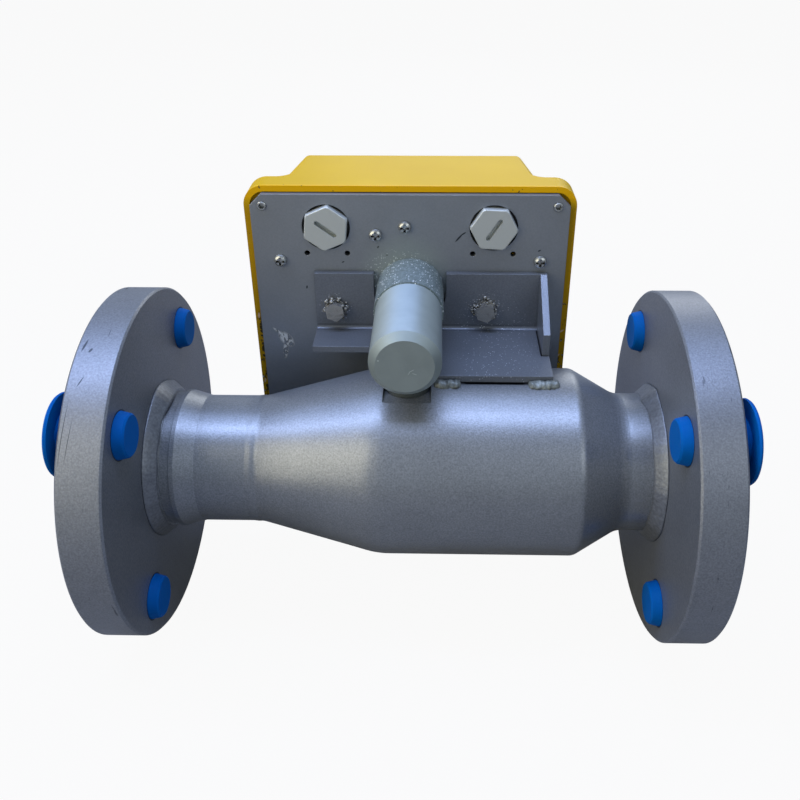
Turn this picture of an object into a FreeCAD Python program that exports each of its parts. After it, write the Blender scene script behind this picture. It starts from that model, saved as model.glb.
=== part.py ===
"""Flanged in-line flow meter with a swinging target disc and a magnetically driven dial.

Frame: millimetres, +Z up, +X along the pipe from the inlet raised face (the origin) to
the outlet raised face, +Y from the pipe towards the dial. The liquid widens in the long
cone, pushes the disc off its seat ring towards +X and leaves through the steep cone.
The disc's lever turns a shaft in the horizontal housing, a magnet carries that turn
through the closed end of the coupling can, and a sector and pinion drive the pointer.
"""
import FreeCAD, Part
import math
import os
import re

import Sketcher

doc = FreeCAD.newDocument("FlowMeter")
sheet = doc.addObject("Spreadsheet::Sheet", "Sizes")

SIZES = {
    # pipe run and flanges
    "face_to_face": 254.0,
    "flange_dia": 152.4,
    "rim_thick": 17.5,
    "rim_chamfer": 0.8,
    "raised_dia": 92.1,
    "raised_height": 1.6,
    "bolt_circle_dia": 120.65,
    "bolt_hole_dia": 19.05,
    "neck_dia": 60.3,
    "neck_wall": 3.9,
    "pipe_setback": 6.0,
    "bead_leg": 5.2,
    "groove_width": 4.2,
    "groove_depth": 0.95,
    "neck_land": 2.0,
    "neck_taper": 8.0,
    "tube_dia": 55.6,
    "tube_wall": 3.6,
    "seam_station": 62.5,
    "seam_width": 2.5,
    "seam_height": 0.18,
    "cone_end": 115.0,
    "cone_radius": 40.0,
    "body_dia": 82.5,
    "body_wall": 3.6,
    "shoulder_station": 199.5,
    "shoulder_radius": 6.0,
    "steep_cone_end": 218.5,
    "steep_radius": 10.0,
    "fit_gap": 0.05,
    "seat_gap": 0.3,
    # seat ring and swinging disc
    "disc_dia": 50.0,
    "disc_thick": 2.0,
    "disc_offset": 12.7,
    "seat_thick": 3.0,
    "seat_bore": 44.0,
    "lever_rod_dia": 4.0,
    "lever_foot_dia": 12.0,
    "lever_foot_length": 6.0,
    "lever_foot_rise": 4.0,
    "lever_hub_dia": 12.0,
    "lever_hub_length": 10.0,
    "disc_screw_dia": 4.0,
    "disc_screw_head_dia": 8.0,
    "disc_screw_head": 2.6,
    # shaft housing, its stub on the pipe and the coupling can
    "head_station": 127.8,
    "stub_height": 24.8,
    "shaft_height": "=flat_level + stub_height",
    "housing_dia": 29.0,
    "housing_reach": 25.4,
    "end_face_dia": 23.3,
    "end_chamfer": 3.0,
    "end_wall": 5.4,
    "housing_bore": 18.0,
    "housing_rear": 18.6,
    "spigot_dia": 23.0,
    "spigot_length": 6.0,
    "seal_ring_dia": 2.0,
    "can_dia": 30.4,
    "can_nose_dia": 22.0,
    "can_nose": 5.9,
    "can_end_wall": 2.5,
    "stub_dia": 20.0,
    "stub_bore": 15.4,
    "flat_cut": 2.25,
    "flat_level": "=body_dia / 2 - flat_cut",
    "shaft_dia": 5.0,
    "bush_length": 6.0,
    "rear_bush_start": 24.0,
    "magnet_dia": 16.8,
    "magnet_length": 8.0,
    "magnet_gap": 1.5,
    "spring_wire": 1.0,
    "spring_dia": 14.0,
    "spring_turns": 5.0,
    # indicator back plate and its screws
    "plate_gap": 1.85,
    "plate_front": "=body_dia / 2 + plate_gap",
    "plate_thick": 3.0,
    "plate_width": 140.0,
    "plate_height": 140.0,
    "plate_rise": 45.1,
    "plate_top": "=shaft_height + plate_rise",
    "plate_corner": 5.2,
    "corner_inset": 5.3,
    "entry_spread": 74.2,
    "entry_drop": 15.2,
    "entry_hole_dia": 21.3,
    "vent_spread": 18.0,
    "vent_drop": 27.6,
    "vent_dia": 2.5,
    "side_screw_spread": 116.7,
    "side_screw_drop": 31.1,
    "post_left": 15.2,
    "post_top_drop": 18.6,
    "post_near_left": 2.2,
    "post_near_drop": 14.8,
    "post_low_drop": 87.0,
    "post_right": 15.0,
    "pan_head_dia": 5.8,
    "pan_head": 2.1,
    "pan_shank_dia": 3.0,
    "pan_screw_grip": 5.0,
    "recess_length": 3.8,
    "recess_width": 1.1,
    "recess_depth": 1.5,
    "corner_head_dia": 4.2,
    "corner_head": 0.7,
    "corner_socket": 2.3,
    "corner_socket_depth": 1.8,
    "corner_shank_dia": 2.6,
    "corner_screw_length": 9.0,
    # mounting bracket
    "sheet_thick": 3.0,
    "bracket_left": 43.4,
    "bracket_right": 61.6,
    "bracket_rise": 31.45,
    "bracket_top": "=body_dia / 2 + bracket_rise",
    "bracket_lift": 0.6,
    "notch_dia": 32.8,
    "leg_front": -1.3,
    "leg_front_left": 22.5,
    "leg_notch_left": 17.7,
    "leg_notch_right": 13.1,
    "leg_notch_back": 31.0,
    "tab_front": 16.0,
    "tab_drop": 17.7,
    "bend_radius": 1.6,
    "bracket_bolt_spread": 68.7,
    "bracket_bolt_drop": 17.8,
    "bolt_dia": 5.0,
    "bolt_flats": 8.0,
    "bolt_head": 3.5,
    "washer_dia": 10.0,
    "washer_thick": 1.0,
    "nut_thick": 4.0,
    "tack_height": 3.4,
    "tack_near": 11.6,
    "tack_far": 50.6,
    "tack_length": 11.6,
    # hood, window and gasket
    "rim_wall": 2.7,
    "rim_gap": 0.4,
    "rim_setback": 2.5,
    "rim_depth": 12.5,
    "rim_radius": 9.0,
    "hood_depth": 48.9,
    "hood_end": "=plate_front + hood_depth",
    "hood_near_width": 114.0,
    "hood_far_width": 104.0,
    "hood_wall": 3.0,
    "hood_inner_round": 5.0,
    "ledge_width": 4.0,
    "gasket_thick": 1.5,
    "gasket_width": 4.0,
    "window_dia": 78.0,
    "window_lap": 4.0,
    "glass_thick": 3.0,
    "seal_thick": 0.8,
    "retainer_thick": 1.5,
    "retainer_lip": 5.0,
    "retainer_screw_in": 1.8,
    "retainer_screw_dia": 2.0,
    "retainer_head_dia": 4.2,
    "retainer_head": 1.3,
    "retainer_grip": 2.0,
    # movement and dial
    "movement_stand": 14.9,
    "movement_rear": "=plate_front + movement_stand",
    "movement_depth": 12.0,
    "movement_front": "=movement_rear + movement_depth",
    "movement_sheet": 2.0,
    "post_dia": 6.0,
    "post_step": 1.0,
    "dial_stand": 9.0,
    "dial_face": "=movement_front + dial_stand",
    "dial_sheet": 1.0,
    "dial_width": 92.0,
    "dial_height": 116.0,
    "follower_gap": 1.2,
    "follower_dia": 20.0,
    "follower_thick": 3.8,
    "spindle_dia": 3.0,
    "pivot_bush_dia": 7.0,
    "gear_module": 0.6,
    "sector_teeth": 70,
    "pinion_teeth": 14,
    "sector_stand": 4.8,
    "sector_start": "=movement_rear + sector_stand",
    "sector_thick": 2.0,
    "pointer_length": 34.0,
    "pointer_tail": 12.0,
    "pointer_rise": 2.6,
    "pointer_thick": 0.8,
    # cable entries and flange-hole plugs
    "entry_thread_dia": 20.0,
    "entry_length": 9.0,
    "entry_flats": 22.0,
    "hex_plug_flats": 18.6,
    "hex_plug_proud": 2.5,
    "hex_plug_head": 4.5,
    "slot_width": 2.1,
    "slot_length": 9.4,
    "slot_depth": 2.6,
    "hex_plug_bevel": 0.7,
    "hex_plug_edge": 0.6,
    "plug_standoff": 2.2,
    "plug_head_dia": 33.0,
    "low_plug_head_dia": 28.0,
    "plug_head_thick": 1.5,
    "plug_tip_dia": 17.2,
    "plug_protrusion": 4.4,
}

for row, (alias, value) in enumerate(SIZES.items(), start=1):
    sheet.set("A%d" % row, alias)
    sheet.set("B%d" % row, str(value))
    sheet.setAlias("B%d" % row, alias)
doc.recompute()

NAME_PATTERN = re.compile(r"[A-Za-z_]+")
ORIGIN_PLANES = {"XY": "XY_Plane", "XZ": "XZ_Plane", "YZ": "YZ_Plane"}
TURN_UP = FreeCAD.Rotation(FreeCAD.Vector(1, 0, 0), -90)
TURN_ALONG = FreeCAD.Rotation(FreeCAD.Vector(0, 1, 0), 90)
nodes = []


def bound(text):
    """An expression in the sheet's aliases, written for setExpression."""
    return NAME_PATTERN.sub(
        lambda word: "Sizes." + word.group() if word.group() in SIZES else word.group(), str(text))


def number(text):
    """The present value of such an expression."""
    plain = NAME_PATTERN.sub(
        lambda word: repr(float(sheet.get(word.group()))) if word.group() in SIZES else word.group(), str(text))
    return FreeCAD.Units.Quantity(plain).Value


def place(item, at):
    """Bind an object's position to three expressions."""
    for axis, text in zip("xyz", at):
        item.setExpression(".Placement.Base." + axis, bound(text))
    return item


def keep(item, label):
    """Give a finished sub-part the label that names its file."""
    item.Label = label
    nodes.append(item)
    return item


def box(name, size, at):
    item = doc.addObject("Part::Box", name)
    for side, text in zip(("Length", "Width", "Height"), size):
        item.setExpression(side, bound(text))
    return place(item, at)


def rod(name, axis, radius, length, at):
    """A cylinder along X, Y or Z from the point at."""
    item = doc.addObject("Part::Cylinder", name)
    item.setExpression("Radius", bound(radius))
    item.setExpression("Height", bound(length))
    item.Placement.Rotation = {"X": TURN_ALONG, "Y": TURN_UP, "Z": FreeCAD.Rotation()}[axis]
    return place(item, at)


def hexagon(name, axis, flats, length, at, turn=0.0):
    """A hexagonal bar along X or Y, its flats given across."""
    item = doc.addObject("Part::Prism", name)
    item.Polygon = 6
    item.setExpression("Circumradius", bound("(%s) / 2 / cos(30 deg)" % flats))
    item.setExpression("Height", bound(length))
    spin = FreeCAD.Rotation(FreeCAD.Vector(0, 0, 1), turn)
    item.Placement.Rotation = {"X": TURN_ALONG, "Y": TURN_UP}[axis].multiply(spin)
    return place(item, at)


def cut(name, base, *tools):
    item = base
    for index, tool in enumerate(tools):
        step = doc.addObject("Part::Cut", "%s_cut%d" % (name, index))
        step.Base = item
        step.Tool = tool
        item = step
    return item


def fuse(name, *parts):
    item = doc.addObject("Part::MultiFuse", name)
    item.Shapes = list(parts)
    item.Refine = True
    return item


def group(name, parts):
    item = doc.addObject("Part::Compound", name)
    item.Links = list(parts)
    return item


def new_body(name):
    return doc.addObject("PartDesign::Body", name)


def sketch_on(body, plane, name, offset="0"):
    sketch = body.newObject("Sketcher::SketchObject", name)
    for feature in body.Origin.OriginFeatures:
        if feature.Role == ORIGIN_PLANES[plane]:
            sketch.AttachmentSupport = (feature, [""])
    sketch.MapMode = "FlatFace"
    sketch.setExpression(".AttachmentOffset.Base.z", bound(offset))
    return sketch


def pin_point(sketch, geometry, position, along, across):
    """Hold one sketch point at two expressions from the sketch's origin."""
    for kind, axis_line, text in (("DistanceX", -2, along), ("DistanceY", -1, across)):
        if str(text) == "0":
            sketch.addConstraint(Sketcher.Constraint("PointOnObject", geometry, position, axis_line))
            continue
        index = sketch.addConstraint(
            Sketcher.Constraint(kind, -1, 1, geometry, position, number(text)))
        sketch.setExpression("Constraints[%d]" % index, bound(text))


def draw_outline(sketch, points):
    """A closed outline of straight sides through points given as expressions."""
    spots = [FreeCAD.Vector(number(along), number(across), 0) for along, across in points]
    first = sketch.GeometryCount
    for index, spot in enumerate(spots):
        sketch.addGeometry(Part.LineSegment(spot, spots[(index + 1) % len(spots)]), False)
    for index in range(len(spots)):
        following = (index + 1) % len(spots)
        sketch.addConstraint(Sketcher.Constraint("Coincident", first + index, 2, first + following, 1))
    for index, (along, across) in enumerate(points):
        pin_point(sketch, first + index, 1, along, across)


def draw_circle(sketch, along, across, radius):
    centre = FreeCAD.Vector(number(along), number(across), 0)
    up = FreeCAD.Vector(0, 0, 1)
    index = sketch.addGeometry(Part.Circle(centre, up, number(radius)), False)
    pin_point(sketch, index, 3, along, across)
    size = sketch.addConstraint(Sketcher.Constraint("Radius", index, number(radius)))
    sketch.setExpression("Constraints[%d]" % size, bound(radius))


def turned(name, axis, points, at=("0", "0", "0")):
    """A body of revolution about X, Y or Z; each point is (along the axis, radius)."""
    body = new_body(name)
    plane = "XZ" if axis == "Z" else "XY"
    sketch = sketch_on(body, plane, name + "_profile")
    if axis == "X":
        draw_outline(sketch, points)
    else:
        draw_outline(sketch, [(radius, along) for along, radius in points])
    turn = body.newObject("PartDesign::Revolution", name + "_turn")
    turn.Profile = sketch
    turn.ReferenceAxis = (sketch, ["H_Axis" if axis == "X" else "V_Axis"])
    turn.Angle = 360.0
    place(body, at)
    return body


def add_pad(body, plane, points, length, holes=(), offset="0", name="pad", towards_plus=True):
    """A pad of one outline with round holes, along the plane's positive world axis."""
    sketch = sketch_on(body, plane, body.Name + "_" + name + "_outline", offset)
    draw_outline(sketch, points)
    for along, across, radius in holes:
        draw_circle(sketch, along, across, radius)
    pad = body.newObject("PartDesign::Pad", body.Name + "_" + name)
    pad.Profile = sketch
    pad.setExpression("Length", bound(length))
    pad.Reversed = (plane == "XZ") == towards_plus
    return pad


def add_pocket(body, plane, points, name="pocket"):
    """Cut one outline right through the body, both ways from its origin plane."""
    sketch = sketch_on(body, plane, body.Name + "_" + name + "_outline")
    draw_outline(sketch, points)
    pocket = body.newObject("PartDesign::Pocket", body.Name + "_" + name)
    pocket.Profile = sketch
    pocket.Type = "ThroughAll"
    pocket.Midplane = True
    return pocket


def round_edges(body, radius, wanted, name="round"):
    """Fillet the edges of a body's last feature that the test picks."""
    doc.recompute()
    tip = body.Tip
    picked = ["Edge%d" % (index + 1) for index, edge in enumerate(tip.Shape.Edges) if wanted(edge)]
    fillet = body.newObject("PartDesign::Fillet", body.Name + "_" + name)
    fillet.Base = (tip, picked)
    fillet.setExpression("Radius", bound(radius))
    return fillet


def round_solid(name, base, radius, wanted):
    """Fillet picked edges of a Part object."""
    doc.recompute()
    item = doc.addObject("Part::Fillet", name)
    item.Base = base
    size = number(radius)
    item.Edges = [(index + 1, size, size) for index, edge in enumerate(base.Shape.Edges) if wanted(edge)]
    return item


def sheet_piece(name, outline, holes, start, thickness):
    """A flat piece parallel to the dial: outline in X and Z about the head axis."""
    body = new_body(name)
    add_pad(body, "XZ", outline, thickness, holes)
    return place(body, ("head_station", start, "0"))


def rectangle(half_width, low, high):
    return [("-(%s)" % half_width, low), (half_width, low), (half_width, high), ("-(%s)" % half_width, high)]


# Flanges, pipe pieces and their welds

FLANGE_DEPTH = "raised_height + rim_thick"
BOLT_OFFSET = "bolt_circle_dia * 0.35355339"


def flange(name, far_end):
    """A slip-on flange with a raised face; station 0 is its raised face."""
    def station(text):
        return "face_to_face - (%s)" % text if far_end else text

    body = turned(name, "X", [
        (station("0"), "neck_dia / 2 + fit_gap"),
        (station("0"), "raised_dia / 2"),
        (station("raised_height"), "raised_dia / 2"),
        (station("raised_height"), "flange_dia / 2 - rim_chamfer"),
        (station("raised_height + rim_chamfer"), "flange_dia / 2"),
        (station(FLANGE_DEPTH + " - rim_chamfer"), "flange_dia / 2"),
        (station(FLANGE_DEPTH), "flange_dia / 2 - rim_chamfer"),
        (station(FLANGE_DEPTH), "neck_dia / 2 + fit_gap"),
    ])
    sketch = sketch_on(body, "YZ", name + "_hole_outline")
    draw_circle(sketch, BOLT_OFFSET, BOLT_OFFSET, "bolt_hole_dia / 2")
    hole = body.newObject("PartDesign::Pocket", name + "_hole")
    hole.Profile = sketch
    hole.Type = "ThroughAll"
    hole.Midplane = True
    pattern = body.newObject("PartDesign::PolarPattern", name + "_holes")
    pattern.Originals = [hole]
    pattern.Axis = (sketch, ["N_Axis"])
    pattern.Occurrences = 4
    body.Tip = pattern
    for feature in body.Origin.OriginFeatures:
        if feature.Role == "X_Axis":
            pattern.Axis = (feature, [""])
    return keep(body, name)


def flange_weld(name, far_end):
    """The fillet weld that runs round the pipe on the flange's back."""
    def station(text):
        return "face_to_face - (%s)" % text if far_end else text

    root = "neck_dia / 2"
    return keep(turned(name, "X", [
        (station(FLANGE_DEPTH), root),
        (station(FLANGE_DEPTH), root + " + bead_leg * 0.9"),
        (station(FLANGE_DEPTH + " + bead_leg * 0.35"), root + " + bead_leg * 0.8"),
        (station(FLANGE_DEPTH + " + bead_leg * 0.85"), root + " + bead_leg * 0.3"),
        (station(FLANGE_DEPTH + " + bead_leg"), root),
    ]), name)


def inlet_tube():
    """The narrow inlet pipe: flange neck, groove, taper and plain tube."""
    groove = FLANGE_DEPTH + " + bead_leg"
    land = groove + " + groove_width"
    taper = land + " + neck_land"
    plain = taper + " + neck_taper"
    neck_inside = "neck_dia / 2 - neck_wall"
    tube_inside = "tube_dia / 2 - tube_wall"
    return keep(turned("inlet_tube", "X", [
        ("pipe_setback", neck_inside),
        ("pipe_setback", "neck_dia / 2"),
        (groove, "neck_dia / 2"),
        (groove, "neck_dia / 2 - groove_depth"),
        (land, "neck_dia / 2 - groove_depth"),
        (land, "neck_dia / 2"),
        (taper, "neck_dia / 2"),
        (plain, "tube_dia / 2"),
        ("seam_station", "tube_dia / 2"),
        ("seam_station", tube_inside),
        (plain, tube_inside),
        (taper, neck_inside),
    ]), "inlet_tube")


def seam_weld():
    """The low weld ring between the inlet tube and the long cone."""
    return keep(turned("seam_weld", "X", [
        ("seam_station - seam_width / 2", "tube_dia / 2"),
        ("seam_station - seam_width / 4", "tube_dia / 2 + seam_height"),
        ("seam_station + seam_width / 4", "tube_dia / 2 + seam_height"),
        ("seam_station + seam_width / 2", "tube_dia / 2"),
    ]), "seam_weld")


def meter_body():
    """The long cone, the measuring chamber, the steep cone and the outlet neck in one shell."""
    cone_start = "seam_station + seam_width / 2"
    pipe_end = "face_to_face - pipe_setback"
    chamber_inside = "body_dia / 2 - body_wall"
    neck_inside = "neck_dia / 2 - neck_wall"
    body = turned("meter_shell_turned", "X", [
        ("seam_station", "tube_dia / 2 - tube_wall"),
        ("seam_station", "tube_dia / 2"),
        (cone_start, "tube_dia / 2"),
        ("cone_end", "body_dia / 2"),
        ("shoulder_station", "body_dia / 2"),
        ("steep_cone_end", "neck_dia / 2"),
        (pipe_end, "neck_dia / 2"),
        (pipe_end, neck_inside),
        ("steep_cone_end", neck_inside),
        ("shoulder_station", chamber_inside),
        ("cone_end", chamber_inside),
        (cone_start, "tube_dia / 2 - tube_wall"),
    ])

    def ring_at(station, radius):
        def wanted(edge):
            curve = edge.Curve
            return (isinstance(curve, Part.Circle)
                    and abs(curve.Center.x - number(station)) < 0.01
                    and abs(curve.Radius - number(radius)) < 0.01)
        return wanted

    round_edges(body, "cone_radius", ring_at("cone_end", "body_dia / 2"), "cone_round")
    round_edges(body, "shoulder_radius", ring_at("shoulder_station", "body_dia / 2"), "shoulder_round")
    round_edges(body, "steep_radius", ring_at("steep_cone_end", "neck_dia / 2"), "neck_round")
    flat_tool = box("stub_flat", ("stub_dia", "body_dia", "body_dia"),
                    ("head_station - stub_dia / 2", "-body_dia / 2", "flat_level"))
    bore_tool = rod("stub_port", "Z", "stub_bore / 2", "body_dia",
                    ("head_station", "0", "0"))
    return keep(cut("meter_shell", body, flat_tool, bore_tool), "meter_body")


def cone_inside(station):
    """The long cone's inner radius at a station."""
    return ("tube_dia / 2 - tube_wall + ((%s) - seam_station - seam_width / 2)"
            " * (body_dia / 2 - body_wall - tube_dia / 2 + tube_wall)"
            " / (cone_end - seam_station - seam_width / 2)" % station)


def seat_ring():
    """The ring in the cone's mouth that the disc closes against."""
    near = "head_station - disc_offset - seat_gap - seat_thick"
    far = "head_station - disc_offset - seat_gap"
    return keep(turned("seat_ring", "X", [
        (near, "seat_bore / 2"),
        (near, cone_inside(near) + " - fit_gap"),
        (far, cone_inside(far) + " - fit_gap"),
        (far, "seat_bore / 2"),
    ]), "seat_ring")


# Shaft housing, stub and coupling can

HEAD = ("head_station", "0", "shaft_height")
SPIGOT_START = "housing_rear - spigot_length"
CAN_END = "plate_front + plate_thick + can_nose"


def shaft_housing():
    """The turned housing across the pipe, blind at its chamfered front end."""
    body = turned("shaft_housing_turned", "Y", [
        ("-housing_reach", "0"),
        ("-housing_reach", "end_face_dia / 2"),
        ("-housing_reach + end_chamfer", "housing_dia / 2"),
        ("housing_rear", "housing_dia / 2"),
        ("housing_rear", "spigot_dia / 2 + fit_gap"),
        (SPIGOT_START, "spigot_dia / 2 + fit_gap"),
        (SPIGOT_START, "housing_bore / 2"),
        ("-housing_reach + end_wall", "housing_bore / 2"),
        ("-housing_reach + end_wall", "0"),
    ], HEAD)
    port = rod("housing_port", "Z", "stub_bore / 2", "shaft_height", ("head_station", "0", "0"))
    return keep(cut("housing_shell", body, port), "shaft_housing")


def housing_stub():
    """The short tube between the flat on the chamber and the housing above it."""
    outer = rod("stub_outer", "Z", "stub_dia / 2", "shaft_height - flat_level",
                ("head_station", "0", "flat_level"))
    bore = rod("stub_inner", "Z", "stub_bore / 2", "shaft_height", ("head_station", "0", "0"))
    saddle = rod("stub_saddle", "Y", "housing_dia / 2", "2 * stub_dia",
                 ("head_station", "-stub_dia", "shaft_height"))
    return keep(cut("stub", outer, bore, saddle), "housing_stub")


def coupling_can():
    """The rough-coated can that seals the shaft and reaches through the back plate."""
    groove_middle = "housing_rear - spigot_length / 2"
    groove_floor = "spigot_dia / 2 - seal_ring_dia * 0.8"
    return keep(turned("coupling_can", "Y", [
        (SPIGOT_START + " + fit_gap", "housing_bore / 2"),
        (SPIGOT_START + " + fit_gap", "spigot_dia / 2"),
        (groove_middle + " - seal_ring_dia * 0.6", "spigot_dia / 2"),
        (groove_middle + " - seal_ring_dia * 0.6", groove_floor),
        (groove_middle + " + seal_ring_dia * 0.6", groove_floor),
        (groove_middle + " + seal_ring_dia * 0.6", "spigot_dia / 2"),
        ("housing_rear", "spigot_dia / 2"),
        ("housing_rear", "can_dia / 2"),
        ("plate_front", "can_dia / 2"),
        ("plate_front", "can_nose_dia / 2"),
        (CAN_END, "can_nose_dia / 2"),
        (CAN_END, "0"),
        (CAN_END + " - can_end_wall", "0"),
        (CAN_END + " - can_end_wall", "housing_bore / 2"),
    ], HEAD), "coupling_can")


def can_seal():
    """The O-ring in the can's spigot, drawn squeezed between groove and bore."""
    middle = "housing_rear - spigot_length / 2"
    inside = "spigot_dia / 2 - seal_ring_dia * 0.8"
    return keep(turned("can_seal", "Y", [
        (middle + " - seal_ring_dia * 0.45", inside),
        (middle + " - seal_ring_dia * 0.5", inside + " + seal_ring_dia * 0.4"),
        (middle + " - seal_ring_dia * 0.45", "spigot_dia / 2 + fit_gap"),
        (middle + " + seal_ring_dia * 0.45", "spigot_dia / 2 + fit_gap"),
        (middle + " + seal_ring_dia * 0.5", inside + " + seal_ring_dia * 0.4"),
        (middle + " + seal_ring_dia * 0.45", inside),
    ], HEAD), "can_seal")


def shaft_bushes():
    """One plain bush in the blind end and one in the can."""
    def ring(name, start):
        return turned(name, "Y", [
            (start, "shaft_dia / 2 + fit_gap"),
            (start, "housing_bore / 2"),
            (start + " + bush_length", "housing_bore / 2"),
            (start + " + bush_length", "shaft_dia / 2 + fit_gap"),
        ], HEAD)

    front = ring("front_bush", "-housing_reach + end_wall")
    rear = ring("rear_bush", "rear_bush_start")
    return keep(group("bush_pair", [front, rear]), "shaft_bushes")


# Shaft, lever, disc, magnet and spring

MAGNET_START = CAN_END + " - can_end_wall - magnet_gap - magnet_length"


def flap_shaft():
    front = "-housing_reach + end_wall + seat_gap"
    end = MAGNET_START + " + magnet_length / 2"
    body = turned("flap_shaft", "Y", [
        (front, "0"), (front, "shaft_dia / 2"), (end, "shaft_dia / 2"), (end, "0")], HEAD)
    return keep(body, "flap_shaft")


def flap_lever():
    """Hub on the shaft, slim rod down through the stub and the foot that carries the disc."""
    foot_start = "head_station - disc_offset + disc_thick"
    hub = rod("lever_hub", "Y", "lever_hub_dia / 2", "lever_hub_length",
              ("head_station", "-lever_hub_length / 2", "shaft_height"))
    foot = rod("lever_foot", "X", "lever_foot_dia / 2", "lever_foot_length", (foot_start, "0", "0"))
    sideways = -number("disc_offset - disc_thick - lever_foot_length / 2")
    drop = number("shaft_height - lever_foot_rise")
    bar = doc.addObject("Part::Cylinder", "lever_bar")
    bar.setExpression("Radius", bound("lever_rod_dia / 2"))
    bar.setExpression("Height", bound(
        "sqrt(pow(disc_offset - disc_thick - lever_foot_length / 2; 2)"
        " + pow(shaft_height - lever_foot_rise; 2))"))
    lean = FreeCAD.Rotation(FreeCAD.Vector(0, 0, 1), FreeCAD.Vector(sideways, 0, -drop))
    bar.Placement.Rotation = lean
    place(bar, HEAD)
    solid = fuse("lever_solid", hub, foot, bar)
    shaft_hole = rod("lever_bore", "Y", "shaft_dia / 2", "lever_hub_length * 2",
                     ("head_station", "-lever_hub_length", "shaft_height"))
    screw_hole = rod("lever_thread", "X", "disc_screw_dia / 2", "lever_foot_length - 1",
                     (foot_start, "0", "0"))
    return keep(cut("lever", solid, shaft_hole, screw_hole), "flap_lever")


def target_disc():
    back = "-disc_offset + disc_thick"
    return keep(turned("target_disc", "X", [
        ("-disc_offset", "disc_screw_dia / 2 + fit_gap"),
        ("-disc_offset", "disc_dia / 2 - 0.6"),
        ("-disc_offset + 0.6", "disc_dia / 2"),
        (back, "disc_dia / 2"),
        (back, "disc_screw_dia / 2 + fit_gap"),
    ], ("head_station", "0", "0")), "target_disc")


def disc_screw():
    head = rod("disc_screw_top", "X", "disc_screw_head_dia / 2", "disc_screw_head",
               ("head_station - disc_offset - disc_screw_head", "0", "0"))
    shank = rod("disc_screw_shank", "X", "disc_screw_dia / 2", "disc_thick + lever_foot_length - 1.5",
                ("head_station - disc_offset", "0", "0"))
    slot = box("disc_screw_slot", ("1.2", "disc_screw_head_dia", "1"),
               ("head_station - disc_offset - disc_screw_head",
                "-disc_screw_head_dia / 2", "-0.5"))
    return keep(cut("disc_screw_cut", fuse("disc_screw_solid", head, shank), slot), "disc_screw")


def drive_magnet():
    middle = MAGNET_START + " + magnet_length / 2"
    end = MAGNET_START + " + magnet_length"
    return keep(turned("drive_magnet", "Y", [
        (MAGNET_START, "shaft_dia / 2"),
        (MAGNET_START, "magnet_dia / 2"),
        (end, "magnet_dia / 2"),
        (end, "0"),
        (middle, "0"),
        (middle, "shaft_dia / 2"),
    ], HEAD), "drive_magnet")


def return_spring():
    """The torsion spring between the front bush and the lever's hub."""
    wire = SIZES["spring_wire"]
    start = number("-housing_reach + end_wall + bush_length + seat_gap") + wire / 2
    stop = number("-lever_hub_length / 2 - seat_gap") - wire / 2
    radius = SIZES["spring_dia"] / 2
    path = Part.makeHelix((stop - start) / SIZES["spring_turns"], stop - start, radius)
    section = Part.Wire(Part.Circle(
        FreeCAD.Vector(radius, 0, 0), FreeCAD.Vector(0, 1, 0), wire / 2).toShape())
    coil = Part.Wire(path.Edges).makePipeShell([section], True, True)
    item = doc.addObject("Part::Feature", "spring_coil")
    item.Shape = coil
    item.Placement = FreeCAD.Placement(
        FreeCAD.Vector(number("head_station"), start, number("shaft_height")), TURN_UP)
    return keep(item, "return_spring")


# Indicator back plate

PLATE_BACK = "plate_front + plate_thick"
PLATE_LOW = "plate_top - plate_height"
ENTRY_LEVEL = "plate_top - entry_drop"
SIDE_LEVEL = "plate_top - side_screw_drop"
NOSE_HOLE = ("0", "shaft_height", "can_nose_dia / 2 + fit_gap * 2")
POSTS = [
    ("-post_left", "plate_top - post_top_drop"),
    ("-post_near_left", "plate_top - post_near_drop"),
    ("-post_left", "plate_top - post_low_drop"),
    ("post_right", "plate_top - post_low_drop"),
]
SIDES = [("side_screw_spread / 2 * %d" % side, SIDE_LEVEL) for side in (-1, 1)]
CORNERS = [
    ("(plate_width / 2 - corner_inset) * %d" % side, level)
    for side in (-1, 1)
    for level in ("plate_top - corner_inset", PLATE_LOW + " + corner_inset")
]
ENTRIES = [("entry_spread / 2 * %d" % side, ENTRY_LEVEL) for side in (-1, 1)]
BRACKET_BOLTS = [("bracket_bolt_spread / 2 * %d" % side, "bracket_top - bracket_bolt_drop") for side in (-1, 1)]


def chamfered_square(shrink, corner="plate_corner"):
    half = "plate_width / 2 - %s" % shrink
    low = PLATE_LOW + " + %s" % shrink
    high = "plate_top - %s" % shrink
    return [
        ("-(%s) + %s" % (half, corner), low), ("%s - %s" % (half, corner), low),
        (half, "%s + %s" % (low, corner)), (half, "%s - %s" % (high, corner)),
        ("%s - %s" % (half, corner), high), ("-(%s) + %s" % (half, corner), high),
        ("-(%s)" % half, "%s - %s" % (high, corner)), ("-(%s)" % half, "%s + %s" % (low, corner)),
    ]


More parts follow.
